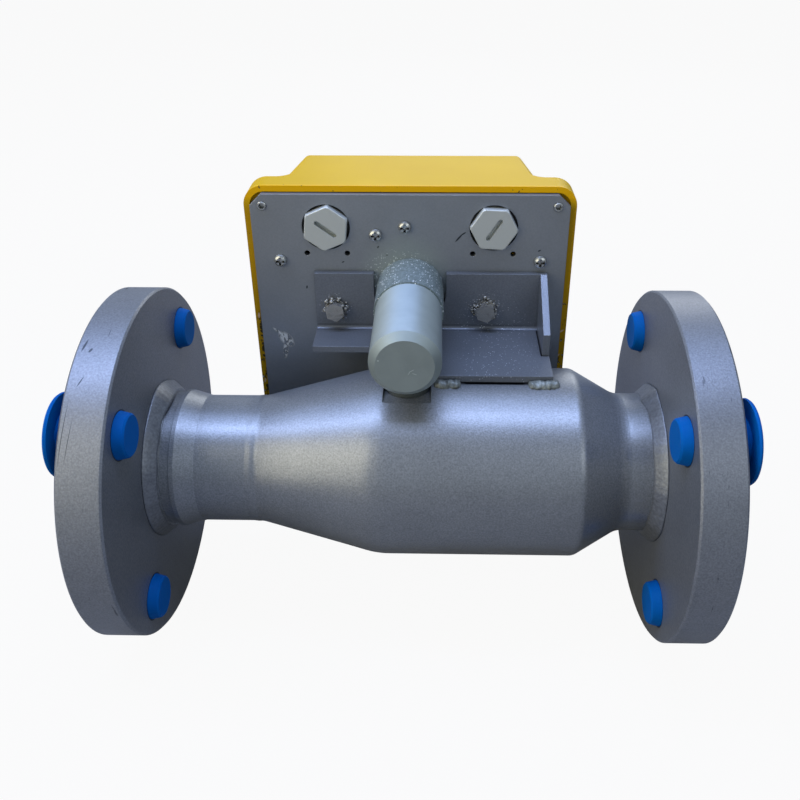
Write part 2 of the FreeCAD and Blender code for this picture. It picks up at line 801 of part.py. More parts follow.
def back_plate():
    vents = [
        ("entry_spread / 2 * %d + vent_spread / 2 * %d" % (side, way), "plate_top - vent_drop", "vent_dia / 2")
        for side in (-1, 1) for way in (-1, 1)
    ]
    holes = [NOSE_HOLE] + vents
    holes += [(along, level, "entry_hole_dia / 2") for along, level in ENTRIES]
    holes += [(along, level, "pan_shank_dia / 2") for along, level in POSTS + SIDES]
    holes += [(along, level, "bolt_dia / 2 + fit_gap") for along, level in BRACKET_BOLTS]
    flat = sheet_piece("back_plate_flat", chamfered_square("0"), holes, "plate_front", "plate_thick")
    sinks = []
    for index, (along, level) in enumerate(CORNERS):
        sink = doc.addObject("Part::Cone", "corner_sink%d" % index)
        sink.setExpression("Radius1", bound("corner_head_dia / 2 + fit_gap"))
        sink.setExpression("Radius2", bound("corner_shank_dia / 2"))
        sink.setExpression("Height", bound("plate_thick / 2"))
        sink.Placement.Rotation = TURN_UP
        place(sink, ("head_station + " + along, "plate_front", level))
        hole = rod("corner_hole%d" % index, "Y", "corner_shank_dia / 2", "plate_thick * 2",
                   ("head_station + " + along, "plate_front - plate_thick / 2", level))
        sinks += [sink, hole]
    return keep(cut("plate_holes", flat, *sinks), "back_plate")


def corner_screws():
    """Raised countersunk screws with a hexagon socket that hold the hood at its corners."""
    made = []
    for index, (along, level) in enumerate(CORNERS):
        middle = "head_station + " + along
        solid = turned("corner_screw_solid%d" % index, "Y", [
            ("-corner_head", "0"),
            ("-corner_head", "corner_head_dia / 2 * 0.82"),
            ("-corner_head / 2", "corner_head_dia / 2"),
            ("0", "corner_head_dia / 2"),
            ("plate_thick / 2", "corner_shank_dia / 2 - fit_gap"),
            ("corner_screw_length", "corner_shank_dia / 2 - fit_gap"),
            ("corner_screw_length", "0"),
        ], (middle, "plate_front", level))
        socket = hexagon("corner_screw_socket%d" % index, "Y", "corner_socket", "corner_socket_depth",
                         (middle, "plate_front - corner_head", level))
        made.append(cut("corner_screw%d" % index, solid, socket))
    return keep(group("corner_screw_set", made), "corner_screws")


def plate_screws():
    """Cross-recess pan-head screws into the posts and the hood's side bosses."""
    made = []
    for index, (along, level) in enumerate(POSTS + SIDES):
        middle = "head_station + " + along
        body = turned("pan_screw%d" % index, "Y", [
            ("-pan_head", "0"),
            ("-pan_head", "pan_head_dia / 2 * 0.6"),
            ("-pan_head * 0.75", "pan_head_dia / 2 * 0.88"),
            ("-pan_head * 0.35", "pan_head_dia / 2"),
            ("0", "pan_head_dia / 2"),
            ("0", "pan_shank_dia / 2"),
            ("plate_thick + pan_screw_grip", "pan_shank_dia / 2"),
            ("plate_thick + pan_screw_grip", "0"),
        ], (middle, "plate_front", level))
        bars = []
        for way, (width, height) in enumerate(
                (("recess_length", "recess_width"), ("recess_width", "recess_length"))):
            bars.append(box("pan_recess%d_%d" % (index, way), (width, "recess_depth", height),
                            (middle + " - %s / 2" % width, "plate_front - pan_head",
                             level + " - %s / 2" % height)))
        made.append(cut("pan_screw_cut%d" % index, body, *bars))
    return keep(group("pan_screw_set", made), "plate_screws")


# Mounting bracket

def bracket():
    """One folded sheet: upright wall, leg welded to the pipe and a side tab."""
    low = "body_dia / 2 + bracket_lift"
    body = new_body("bracket_folded")
    add_pad(body, "YZ", [
        ("plate_front", low),
        ("plate_front", "bracket_top"),
        ("plate_front - sheet_thick", "bracket_top"),
        ("plate_front - sheet_thick", low + " + sheet_thick"),
        ("leg_front", low + " + sheet_thick"),
        ("leg_front", low),
    ], "bracket_left + bracket_right", offset="-bracket_left", name="fold")

    def fold_edge(edge):
        middle = edge.CenterOfMass
        inner = (number("plate_front - sheet_thick"), number(low + " + sheet_thick"))
        outer = (number("plate_front"), number(low))
        along_x = abs(edge.tangentAt(edge.FirstParameter).x) > 0.99
        return along_x and any(
            math.hypot(middle.y - spot[0], middle.z - spot[1]) < 0.01 for spot in (inner, outer))

    round_edges(body, "bend_radius", fold_edge, "bend")
    add_pocket(body, "XY", [
        ("-bracket_left - 1", "leg_front - 1"),
        ("leg_notch_right", "leg_front - 1"),
        ("leg_notch_right", "leg_notch_back"),
        ("-leg_notch_left", "leg_notch_back"),
        ("-leg_notch_left", "leg_front_left"),
        ("-bracket_left - 1", "leg_front_left"),
    ], "leg_notch")
    add_pocket(body, "XY", [
        ("bracket_right - sheet_thick - bracket_lift", "tab_front - bracket_lift"),
        ("bracket_right + 1", "tab_front - bracket_lift"),
        ("bracket_right + 1", "plate_front - sheet_thick * 1.5"),
        ("bracket_right - sheet_thick - bracket_lift", "plate_front - sheet_thick * 1.5"),
    ], "tab_relief")
    add_pad(body, "YZ", [
        ("tab_front", low),
        ("plate_front", low),
        ("plate_front", "bracket_top"),
        ("plate_front - sheet_thick", "bracket_top"),
        ("tab_front", "bracket_top - tab_drop"),
    ], "sheet_thick", offset="bracket_right - sheet_thick", name="tab")
    place(body, ("head_station", "0", "0"))
    notch_round = rod("notch_round", "Y", "notch_dia / 2", "sheet_thick * 2",
                      ("head_station", "plate_front - sheet_thick * 1.5", "shaft_height"))
    notch_open = box("notch_open", ("notch_dia", "sheet_thick * 2", "notch_dia"),
                     ("head_station - notch_dia / 2", "plate_front - sheet_thick * 1.5", "shaft_height"))
    holes = [
        rod("bracket_hole%d" % index, "Y", "bolt_dia / 2 + fit_gap", "sheet_thick * 2",
            ("head_station + " + along, "plate_front - sheet_thick * 1.5", level))
        for index, (along, level) in enumerate(BRACKET_BOLTS)
    ]
    return keep(cut("bracket_sheet", body, notch_round, notch_open, *holes), "bracket")


BOLT_HEAD_TURN = 20.0


def bracket_fasteners():
    """Hexagon bolts through bracket and plate, with washers in front and nuts behind."""
    bolts, washers, nuts = [], [], []
    for index, (along, level) in enumerate(BRACKET_BOLTS):
        middle = "head_station + " + along
        wall = "plate_front - sheet_thick"
        head = hexagon("bolt_head%d" % index, "Y", "bolt_flats", "bolt_head",
                       (middle, wall + " - washer_thick - bolt_head", level), BOLT_HEAD_TURN)
        shank = rod("bolt_shank%d" % index, "Y", "bolt_dia / 2",
                    "washer_thick + sheet_thick + plate_thick + nut_thick + 1.5",
                    (middle, wall + " - washer_thick", level))
        bolts.append(fuse("bracket_bolt%d" % index, head, shank))
        washer = rod("washer_disc%d" % index, "Y", "washer_dia / 2", "washer_thick",
                     (middle, wall + " - washer_thick", level))
        washer_hole = rod("washer_hole%d" % index, "Y", "bolt_dia / 2", "washer_thick",
                          (middle, wall + " - washer_thick", level))
        washers.append(cut("washer%d" % index, washer, washer_hole))
        nut = hexagon("nut_block%d" % index, "Y", "bolt_flats", "nut_thick", (middle, PLATE_BACK, level))
        nut_hole = rod("nut_hole%d" % index, "Y", "bolt_dia / 2", "nut_thick", (middle, PLATE_BACK, level))
        nuts.append(cut("nut%d" % index, nut, nut_hole))
    keep(group("bolt_set", bolts), "bracket_bolts")
    keep(group("washer_set", washers), "bracket_washers")
    keep(group("nut_set", nuts), "bracket_nuts")


def bracket_welds():
    """Two short welds under the leg's front edge, each seated on the round chamber."""
    made = []
    for index, start in enumerate(("tack_near", "tack_far")):
        lump = doc.addObject("Part::Cylinder", "tack_lump%d" % index)
        lump.setExpression("Radius", bound("tack_height"))
        lump.setExpression("Height", bound("tack_length"))
        lump.Placement.Rotation = TURN_ALONG
        place(lump, ("head_station + " + start, "leg_front - tack_height / 2", "body_dia / 2"))
        leg = box("tack_leg%d" % index, ("tack_length", "body_dia", "body_dia"),
                  ("head_station + " + start, "leg_front", "body_dia / 2 + bracket_lift"))
        chamber = rod("tack_chamber%d" % index, "X", "body_dia / 2", "tack_length",
                      ("head_station + " + start, "0", "0"))
        made.append(cut("tack%d" % index, lump, leg, chamber))
    return keep(group("tack_pair", made), "bracket_welds")


# Hood with window

RIM_START = "plate_front + rim_setback"
RIM_END = RIM_START + " + rim_depth"
RIM_HALF = "plate_width / 2 + rim_gap + rim_wall"
RIM_LOW = PLATE_LOW + " - rim_gap - rim_wall"
RIM_HIGH = "plate_top + rim_gap + rim_wall"
LEDGE = PLATE_BACK + " + gasket_thick"
DIAL_LEVEL = "shaft_height - gear_module * (sector_teeth + pinion_teeth) / 2"
WINDOW_AXIS = ("head_station", "0", DIAL_LEVEL)


def wedge(name, near_half, far_half, low, high, start, end):
    item = doc.addObject("Part::Wedge", name)
    for prop, text in (("Xmin", "-(%s)" % near_half), ("Xmax", near_half), ("X2min", "-(%s)" % far_half),
                       ("X2max", far_half), ("Zmin", low), ("Z2min", low), ("Zmax", high), ("Z2max", high),
                       ("Ymin", start), ("Ymax", end)):
        item.setExpression(prop, bound(text))
    return place(item, ("head_station", "0", "0"))


def frame_box(name, half, low, high, start, end):
    return box(name, ("2 * (%s)" % half, "%s - (%s)" % (end, start), "%s - (%s)" % (high, low)),
               ("head_station - (%s)" % half, start, low))


def edge_along(edge, axis):
    """True for a straight edge nearly parallel to a world axis."""
    ends = [vertex.Point for vertex in edge.Vertexes]
    if len(ends) != 2:
        return False
    run = ends[1].sub(ends[0])
    straight = run.Length > 1 and edge.Length - run.Length < 0.01
    return straight and abs(getattr(run, axis)) > 0.95 * run.Length


def hood():
    """The painted hood: a rim round the back plate and a narrower tapering box behind it."""
    middle = number("head_station")
    rim_end = number(RIM_END)
    rim = frame_box("hood_rim", RIM_HALF, RIM_LOW, RIM_HIGH, RIM_START, RIM_END)
    rim = round_solid("hood_rim_round", rim, "rim_radius", lambda edge: edge_along(edge, "y"))
    case = wedge("hood_case", "hood_near_width / 2", "hood_far_width / 2", RIM_LOW, RIM_HIGH, RIM_END, "hood_end")
    case = round_solid("hood_case_round", case, "3.5",
                       lambda edge: edge_along(edge, "y") or abs(edge.CenterOfMass.y - number("hood_end")) < 0.01)
    shell = fuse("hood_outside", rim, case)

    def inner_corner(edge):
        middle_point = edge.CenterOfMass
        return (edge_along(edge, "z") and abs(middle_point.y - rim_end) < 0.01
                and abs(abs(middle_point.x - middle) - number("hood_near_width / 2")) < 0.01)

    shell = round_solid("hood_outside_round", shell, "hood_inner_round", inner_corner)
    pocket = frame_box("hood_plate_pocket", "plate_width / 2 + rim_gap", PLATE_LOW + " - rim_gap",
                       "plate_top + rim_gap", RIM_START, LEDGE)
    pocket = round_solid("hood_plate_pocket_round", pocket, "rim_radius - rim_wall",
                         lambda edge: edge_along(edge, "y"))
    chamber_end = RIM_END + " - hood_wall"
    chamber = frame_box("hood_chamber", "plate_width / 2 - ledge_width", PLATE_LOW + " + ledge_width",
                        "plate_top - ledge_width", LEDGE, chamber_end)
    inside = wedge("hood_inside", "hood_near_width / 2 - hood_wall", "hood_far_width / 2 - hood_wall",
                   PLATE_LOW + " + ledge_width", "plate_top - ledge_width", chamber_end, "hood_end - hood_wall")
    opening = rod("hood_window", "Y", "window_dia / 2", "hood_wall * 2",
                  ("head_station", "hood_end - hood_wall * 1.5", DIAL_LEVEL))
    shell = cut("hood_shell", shell, pocket, chamber, inside, opening)
    bosses, drills = [], []
    for index, (along, level) in enumerate(CORNERS):
        where = ("head_station + " + along, LEDGE, level)
        bosses.append(rod("hood_corner_boss%d" % index, "Y", "4.6", chamber_end + " - (%s) + 0.5" % LEDGE, where))
        drills.append(rod("hood_corner_drill%d" % index, "Y", "corner_shank_dia / 2",
                          "corner_screw_length - plate_thick", where))
    for index, (along, level) in enumerate(SIDES):
        where = ("head_station + " + along, PLATE_BACK, level)
        bosses.append(rod("hood_side_boss%d" % index, "Y", "4", chamber_end + " - (%s) + 0.5" % PLATE_BACK, where))
        drills.append(rod("hood_side_drill%d" % index, "Y", "pan_shank_dia / 2", "pan_screw_grip + 0.5", where))
    solid = fuse("hood_bossed", shell, *bosses)
    screws = retainer_holes("hood_retainer_drill", "retainer_screw_dia / 2", "hood_end - hood_wall", "retainer_grip")
    return keep(cut("hood_final", solid, *(drills + screws)), "hood")


def retainer_holes(name, radius, start, length):
    """Four short rods on the circle of the window retainer's screws."""
    made = []
    for index in range(4):
        angle = "%d deg" % (45 + 90 * index)
        made.append(rod("%s%d" % (name, index), "Y", radius, length, (
            "head_station + (window_dia / 2 + window_lap + retainer_lip - retainer_screw_in) * cos(%s)" % angle, start,
            DIAL_LEVEL + " + (window_dia / 2 + window_lap + retainer_lip - retainer_screw_in) * sin(%s)" % angle)))
    return made


def hood_gasket():
    """A flat frame squeezed between the back plate and the hood's ledge."""
    outer = new_body("gasket_outer")
    add_pad(outer, "XZ", chamfered_square("rim_gap"), "gasket_thick",
            [(along, level, "corner_shank_dia / 2 + rim_gap") for along, level in CORNERS])
    place(outer, ("head_station", PLATE_BACK, "0"))
    inner = new_body("gasket_inner")
    add_pad(inner, "XZ", chamfered_square("gasket_width", "9"), "gasket_thick")
    place(inner, ("head_station", PLATE_BACK, "0"))
    return keep(cut("gasket_frame", outer, inner), "hood_gasket")


def window_parts():
    """Seal, glass and retainer, stacked inside the hood's end wall, and the retainer's screws."""
    wall = "hood_end - hood_wall"
    glass_end = wall + " - seal_thick"
    glass_start = glass_end + " - glass_thick"
    ring_start = glass_start + " - retainer_thick"
    edge = "window_dia / 2 + window_lap"
    seal = turned("window_seal", "Y", [
        (glass_end, "window_dia / 2 + 0.5"), (glass_end, edge), (wall, edge), (wall, "window_dia / 2 + 0.5"),
    ], WINDOW_AXIS)
    glass = turned("window_glass", "Y", [
        (glass_start, "0"), (glass_start, edge), (glass_end, edge), (glass_end, "0")], WINDOW_AXIS)
    ring = turned("retainer_ring", "Y", [
        (ring_start, "window_dia / 2"),
        (ring_start, edge + " + retainer_lip"),
        (wall, edge + " + retainer_lip"),
        (wall, edge + " + fit_gap"),
        (glass_start, edge + " + fit_gap"),
        (glass_start, "window_dia / 2"),
    ], WINDOW_AXIS)
    keep(seal, "window_seal")
    keep(glass, "window_glass")
    through = retainer_holes("retainer_hole", "retainer_screw_dia / 2", ring_start, "retainer_thick * 6")
    keep(cut("retainer_drilled", ring, *through), "window_retainer")
    heads = retainer_holes("retainer_screw_head", "retainer_head_dia / 2", ring_start + " - retainer_head",
                           "retainer_head")
    shanks = retainer_holes("retainer_screw_shank", "retainer_screw_dia / 2", ring_start + " - retainer_head",
                            "%s - (%s) + retainer_head + retainer_grip" % (wall, ring_start))
    made = [fuse("retainer_screw%d" % index, head, shank)
            for index, (head, shank) in enumerate(zip(heads, shanks))]
    keep(group("retainer_screw_set", made), "retainer_screws")


# Movement, dial and pointer

POINTER_AXIS = ("head_station", "0", DIAL_LEVEL)


def movement_posts():
    """Stepped posts that carry both movement plates and the dial."""
    made = []
    first = "post_dia / 2"
    second = first + " - post_step / 2"
    third = second + " - post_step / 2"
    for index, (along, level) in enumerate(POSTS):
        where = ("head_station + " + along, "0", level)
        made.append(turned("post%d" % index, "Y", [
            (PLATE_BACK, "pan_shank_dia / 2"), (PLATE_BACK, first), ("movement_rear", first),
            ("movement_rear", second), ("movement_front", second), ("movement_front", third),
            ("dial_face - dial_sheet", third), ("dial_face - dial_sheet", "0"),
            (PLATE_BACK + " + pan_screw_grip + 1", "0"),
            (PLATE_BACK + " + pan_screw_grip + 1", "pan_shank_dia / 2"),
        ], where))
    return keep(group("post_set", made), "movement_posts")


def movement_plates():
    """The two thin plates that hold the pivots, cut to one outline."""
    outline = [
        ("-post_left - 5", "plate_top - post_low_drop - 5"),
        ("post_right + 5", "plate_top - post_low_drop - 5"),
        ("post_right + 5", "shaft_height + 8"),
        ("-post_near_left + 6", "plate_top - post_near_drop + 5"),
        ("-post_left - 5", "plate_top - post_near_drop + 5"),
    ]
    pivots = [("0", level, "pivot_bush_dia / 2") for level in ("shaft_height", DIAL_LEVEL)]
    rear_holes = pivots + [(along, level, "post_dia / 2 - post_step / 2 + fit_gap / 2")
                           for along, level in POSTS]
    front_holes = pivots + [(along, level, "post_dia / 2 - post_step + fit_gap / 2")
                            for along, level in POSTS]
    rear = sheet_piece("rear_plate", outline, rear_holes, "movement_rear", "movement_sheet")
    front = sheet_piece("front_plate", outline, front_holes, "movement_front", "movement_sheet")
    keep(rear, "rear_movement_plate")
    keep(front, "front_movement_plate")


def movement_bushes():
    made = []
    for plate_name, start in (("rear", "movement_rear"), ("front", "movement_front")):
        for axis_name, level in (("follower", "shaft_height"), ("pointer", DIAL_LEVEL)):
            made.append(turned("%s_%s_pivot" % (plate_name, axis_name), "Y", [
                (start, "spindle_dia / 2 + fit_gap"),
                (start, "pivot_bush_dia / 2"),
                (start + " + movement_sheet", "pivot_bush_dia / 2"),
                (start + " + movement_sheet", "spindle_dia / 2 + fit_gap"),
            ], ("head_station", "0", level)))
    return keep(group("pivot_set", made), "movement_bushes")


def follower():
    """Spindle and cup magnet that follow the drive magnet through the can's end."""
    start = CAN_END + " + follower_gap"
    end = "movement_front + movement_sheet + 1"
    spindle = turned("follower_spindle", "Y", [
        (start + " + 0.6", "0"), (start + " + 0.6", "spindle_dia / 2"), (end, "spindle_dia / 2"), (end, "0")], HEAD)
    keep(spindle, "follower_spindle")
    magnet = turned("follower_magnet", "Y", [
        (start, "0"),
        (start, "follower_dia / 2"),
        (start + " + follower_thick", "follower_dia / 2"),
        (start + " + follower_thick", "spindle_dia / 2"),
        (start + " + 0.6", "spindle_dia / 2"),
        (start + " + 0.6", "0"),
    ], HEAD)
    keep(magnet, "follower_magnet")


def tooth_flank(teeth, addendum, dedendum, thinning):
    """Half a tooth: (radius, angle from its middle) from root to tip, on an involute."""
    module = SIZES["gear_module"]
    pressure = math.radians(20.0)
    pitch_radius = module * teeth / 2
    base_radius = pitch_radius * math.cos(pressure)
    half = math.pi / (2 * teeth) - thinning / pitch_radius
    involute = math.tan(pressure) - pressure
    points = []
    steps = 4
    root = pitch_radius - dedendum * module
    tip = pitch_radius + addendum * module
    for index in range(steps + 1):
        radius = root + (tip - root) * index / steps
        if radius <= base_radius:
            angle = half + involute
        else:
            lean = math.acos(base_radius / radius)
            angle = half + involute - (math.tan(lean) - lean)
        points.append((radius, angle))
    return points


def toothed_outline(teeth, count, first_angle, thinning):
    """Points round consecutive teeth; angles run from -Z towards +X."""
    step = 2 * math.pi / teeth
    flank = tooth_flank(teeth, 0.9, 1.2, thinning)
    points = []
    for index in range(count):
        middle = first_angle + step * index
        for radius, angle in flank:
            points.append((radius, middle - angle))
        for radius, angle in reversed(flank):
            points.append((radius, middle + angle))
    return points


def solid_from_outline(points, start, thick):
    """Extrude an outline given in polar form about a Y axis, -Z being angle zero."""
    corners = [FreeCAD.Vector(radius * math.sin(angle), start, -radius * math.cos(angle))
               for radius, angle in points]
    face = Part.Face(Part.makePolygon(corners + corners[:1]))
    return face.extrude(FreeCAD.Vector(0, thick, 0))


def shaped(name, shape, at):
    item = doc.addObject("Part::Feature", name)
    item.Shape = shape
    return place(item, at)


def sector_gear():
    """A toothed sector on a hub; it meets the pinion straight below the spindle."""
    teeth = int(SIZES["sector_teeth"])
    step = 2 * math.pi / teeth
    before, after = 6, 2
    rim = toothed_outline(teeth, before + after + 1, -before * step, 0.03)
    hub_radius = SIZES["spindle_dia"] / 2 + 2.5
    web = [(hub_radius * 0.8, 1.0), (hub_radius * 0.8, -1.2)]
    start = number("sector_start")
    thick = SIZES["sector_thick"]
    blade = solid_from_outline(rim + web, start, thick)
    centre = FreeCAD.Vector(0, start - 1.2, 0)
    along = FreeCAD.Vector(0, 1, 0)
    hub = Part.makeCylinder(hub_radius, thick + 1.2, centre, along)
    hole = Part.makeCylinder(SIZES["spindle_dia"] / 2, thick * 4, FreeCAD.Vector(0, start - thick, 0), along)
    return keep(shaped("sector", blade.fuse(hub).cut(hole).removeSplitter(), HEAD), "sector_gear")


def pointer_spindle():
    """The pointer's spindle with its pinion cut on it."""
    teeth = int(SIZES["pinion_teeth"])
    step = 2 * math.pi / teeth
    rim = toothed_outline(teeth, teeth, math.pi + step / 2, 0.03)
    start = number("sector_start") - 0.5
    pinion = solid_from_outline(rim, start, SIZES["sector_thick"] + 1)
    radius = SIZES["spindle_dia"] / 2
    low = number("movement_rear - 1")
    high = number("dial_face + pointer_rise + pointer_thick + 0.6")
    along = FreeCAD.Vector(0, 1, 0)
    spindle = Part.makeCylinder(radius, high - low, FreeCAD.Vector(0, low, 0), along)
    return keep(shaped("pinion", pinion.fuse(spindle).removeSplitter(), POINTER_AXIS), "pointer_spindle")


def pointer():
    """A slim tapering pointer with a round hub and a short tail."""
    body = new_body("pointer_blade")
    lean = -45.0
    add_pad(body, "XZ", [
        ("-1.6", "-pointer_tail"), ("1.6", "-pointer_tail"), ("1.1", "0"),
        ("0.3", "pointer_length"), ("-0.3", "pointer_length"), ("-1.1", "0"),
    ], "pointer_thick")
    body.Placement.Rotation = FreeCAD.Rotation(FreeCAD.Vector(0, 1, 0), lean)
    place(body, ("head_station", "dial_face + pointer_rise", DIAL_LEVEL))
    hub = rod("pointer_hub", "Y", "spindle_dia / 2 + 2", "pointer_thick + 1",
              ("head_station", "dial_face + pointer_rise - 1", DIAL_LEVEL))
    hole = rod("pointer_bore", "Y", "spindle_dia / 2", "10",
               ("head_station", "dial_face", DIAL_LEVEL))
    return keep(cut("pointer_cut", fuse("pointer_solid", body, hub), hole), "pointer")


def dial_plate():
    """The dial sheet on the posts, holed for the pointer's spindle."""
    half = "dial_width / 2"
    low = "plate_top - plate_height / 2 - dial_height / 2"
    high = "plate_top - plate_height / 2 + dial_height / 2"
    holes = [("0", DIAL_LEVEL, "spindle_dia / 2 + 0.75")]
    holes += [(along, level, "1") for along, level in POSTS]
    plate = sheet_piece("dial_plate", rectangle(half, low, high), holes,
                        "dial_face - dial_sheet", "dial_sheet")
    return keep(plate, "dial_plate")


def dial_screws():
    made = []
    for index, (along, level) in enumerate(POSTS):
        middle = "head_station + " + along
        head = rod("dial_screw_head%d" % index, "Y", "2.2", "1.4", (middle, "dial_face", level))
        shank = rod("dial_screw_shank%d" % index, "Y", "1", "dial_sheet + 1.4",
                    (middle, "dial_face - dial_sheet", level))
        made.append(fuse("dial_screw%d" % index, head, shank))
    return keep(group("dial_screw_set", made), "dial_screws")


# Cable entries and protective plugs

def cable_entries():
    """Threaded entry bushes behind the plate, their seals and slotted hexagon plugs."""
    bushes, seals, plugs = [], [], []
    turns = (36.0, 3.0)
    for index, (along, level) in enumerate(ENTRIES):
        middle = "head_station + " + along
        bush = hexagon("entry_block%d" % index, "Y", "entry_flats", "entry_length", (middle, PLATE_BACK, level))
        bush_bore = rod("entry_bore%d" % index, "Y", "entry_thread_dia / 2 - 2", "entry_length",
                        (middle, PLATE_BACK, level))
        bushes.append(cut("entry_bush%d" % index, bush, bush_bore))
        head_start = "plate_front - hex_plug_proud"
        block = hexagon("plug_block%d" % index, "Y", "hex_plug_flats", "hex_plug_head",
                        (middle, head_start, level), turns[index])
        front = number(head_start)
        block = round_solid("plug_block_round%d" % index, block, "hex_plug_edge",
                            lambda edge: abs(edge.CenterOfMass.y - front) < 0.01)
        bevel = turned("plug_bevel%d" % index, "Y", [
            ("0", "0"),
            ("0", "entry_hole_dia / 2 - fit_gap - hex_plug_bevel"),
            ("hex_plug_bevel", "entry_hole_dia / 2 - fit_gap"),
            ("hex_plug_head", "entry_hole_dia / 2 - fit_gap"),
            ("hex_plug_head", "0"),
        ], (middle, head_start, level))
        head = doc.addObject("Part::Common", "plug_head%d" % index)
        head.Base = block
        head.Tool = bevel
        thread = rod("plug_thread%d" % index, "Y", "entry_thread_dia / 2 - 2", "entry_length - 1",
                     (middle, head_start + " + hex_plug_head", level))
        slot = doc.addObject("Part::Box", "plug_slot%d" % index)
        slot.setExpression("Length", bound("slot_length"))
        slot.setExpression("Width", bound("slot_depth"))
        slot.setExpression("Height", bound("slot_width"))
        lean = (37.0, -57.5)[index]
        slot.Placement.Rotation = FreeCAD.Rotation(FreeCAD.Vector(0, 1, 0), lean)
        half = FreeCAD.Vector(number("slot_length / 2"), 0, number("slot_width / 2"))
        shift = slot.Placement.Rotation.multVec(half)
        place(slot, (middle + " - (%.6f)" % shift.x, head_start, level + " - (%.6f)" % shift.z))
        ends = []
        for way in (-1, 1):
            reach = slot.Placement.Rotation.multVec(FreeCAD.Vector(number("slot_length / 2") * way, 0, 0))
            ends.append(rod("plug_slot_end%d_%d" % (index, way + 1), "Y", "slot_width / 2", "slot_depth",
                            (middle + " + (%.6f)" % reach.x, head_start, level + " + (%.6f)" % reach.z)))
        plugs.append(cut("hex_plug%d" % index, fuse("hex_plug_solid%d" % index, head, thread), slot, *ends))
        seal_start = head_start + " + hex_plug_head"
        seal = rod("entry_seal_disc%d" % index, "Y", "entry_hole_dia / 2 - fit_gap",
                   PLATE_BACK + " - (%s)" % seal_start, (middle, seal_start, level))
        seal_hole = rod("entry_seal_hole%d" % index, "Y", "entry_thread_dia / 2 - 2",
                        PLATE_BACK + " - (%s)" % seal_start, (middle, seal_start, level))
        seals.append(cut("entry_seal%d" % index, seal, seal_hole))
    keep(group("entry_bush_set", bushes), "entry_bushes")
    keep(group("entry_seal_set", seals), "entry_seals")
    keep(group("hex_plug_set", plugs), "hex_plugs")


def hole_plugs(name, far_end):
    """Push-in plugs in the flange's bolt holes, their wide heads on the raised-face side."""
    def station(text):
        return "face_to_face - (%s)" % text if far_end else text

    made = []
    for index, (side, up) in enumerate(((-1, -1), (-1, 1), (1, -1), (1, 1))):
        shank = "bolt_hole_dia / 2 - fit_gap"
        head = "plug_head_dia / 2" if up > 0 else "low_plug_head_dia / 2"
        made.append(turned("%s%d" % (name, index), "X", [
            (station("-plug_standoff - plug_head_thick"), "0"),
            (station("-plug_standoff - plug_head_thick"), head + " - 0.5"),
            (station("-plug_standoff - plug_head_thick / 2"), head),
            (station("-plug_standoff"), head + " - 0.3"),
            (station("-plug_standoff"), shank),
            (station(FLANGE_DEPTH), shank),
            (station(FLANGE_DEPTH + " + plug_protrusion - 0.7"), "plug_tip_dia / 2"),
            (station(FLANGE_DEPTH + " + plug_protrusion"), "plug_tip_dia / 2 - 0.7"),
            (station(FLANGE_DEPTH + " + plug_protrusion"), "0"),
        ], ("0", BOLT_OFFSET + " * %d" % side, BOLT_OFFSET + " * %d" % up)))
    return keep(group(name + "_set", made), name)


flange("inlet_flange", False)
flange("outlet_flange", True)
flange_weld("inlet_weld", False)
flange_weld("outlet_weld", True)
inlet_tube()
seam_weld()
meter_body()
seat_ring()
shaft_housing()
housing_stub()
coupling_can()
can_seal()
shaft_bushes()
flap_shaft()
flap_lever()
target_disc()
disc_screw()
drive_magnet()
return_spring()
back_plate()
corner_screws()
plate_screws()
bracket()
bracket_fasteners()
bracket_welds()
hood()
hood_gasket()
window_parts()
movement_posts()
movement_plates()
movement_bushes()
follower()
sector_gear()
pointer_spindle()
pointer()
dial_plate()
dial_screws()
cable_entries()
hole_plugs("inlet_hole_plugs", False)
hole_plugs("outlet_hole_plugs", True)

doc.recompute()
for item in doc.Objects:
    if "Invalid" in item.State or "Error" in item.State:
        raise RuntimeError("failed object: %s %s" % (item.Name, item.State))
for item in nodes:
    if item.Shape.isNull() or not item.Shape.isValid() or not item.Shape.Solids:
        raise RuntimeError("bad shape: " + item.Label)

os.makedirs("parts", exist_ok=True)
for item in nodes:
    item.Shape.exportStep(os.path.join("parts", item.Label + ".step"))
    print("%-22s solids %2d volume %12.2f" % (item.Label, len(item.Shape.Solids), item.Shape.Volume))
print("sub-parts", len(nodes))
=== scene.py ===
"""Looks of the in-line flow meter: its finishes, its weld beads, its dial marks and its studio."""
import math
import random

import bpy
from mathutils import Matrix, Vector, noise


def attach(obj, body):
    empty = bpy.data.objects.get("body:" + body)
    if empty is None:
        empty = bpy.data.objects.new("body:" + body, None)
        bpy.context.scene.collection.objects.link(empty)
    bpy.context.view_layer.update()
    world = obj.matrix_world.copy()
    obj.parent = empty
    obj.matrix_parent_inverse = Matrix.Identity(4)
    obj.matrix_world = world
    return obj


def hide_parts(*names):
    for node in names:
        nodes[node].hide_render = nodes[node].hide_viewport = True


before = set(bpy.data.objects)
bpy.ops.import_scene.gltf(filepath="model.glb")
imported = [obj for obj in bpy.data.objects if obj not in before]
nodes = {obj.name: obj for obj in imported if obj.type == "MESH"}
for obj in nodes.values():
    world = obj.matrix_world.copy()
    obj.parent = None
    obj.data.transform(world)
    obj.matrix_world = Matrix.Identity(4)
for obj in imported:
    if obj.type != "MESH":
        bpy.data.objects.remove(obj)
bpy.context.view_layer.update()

# Metres in a millimetre
MM = 0.001

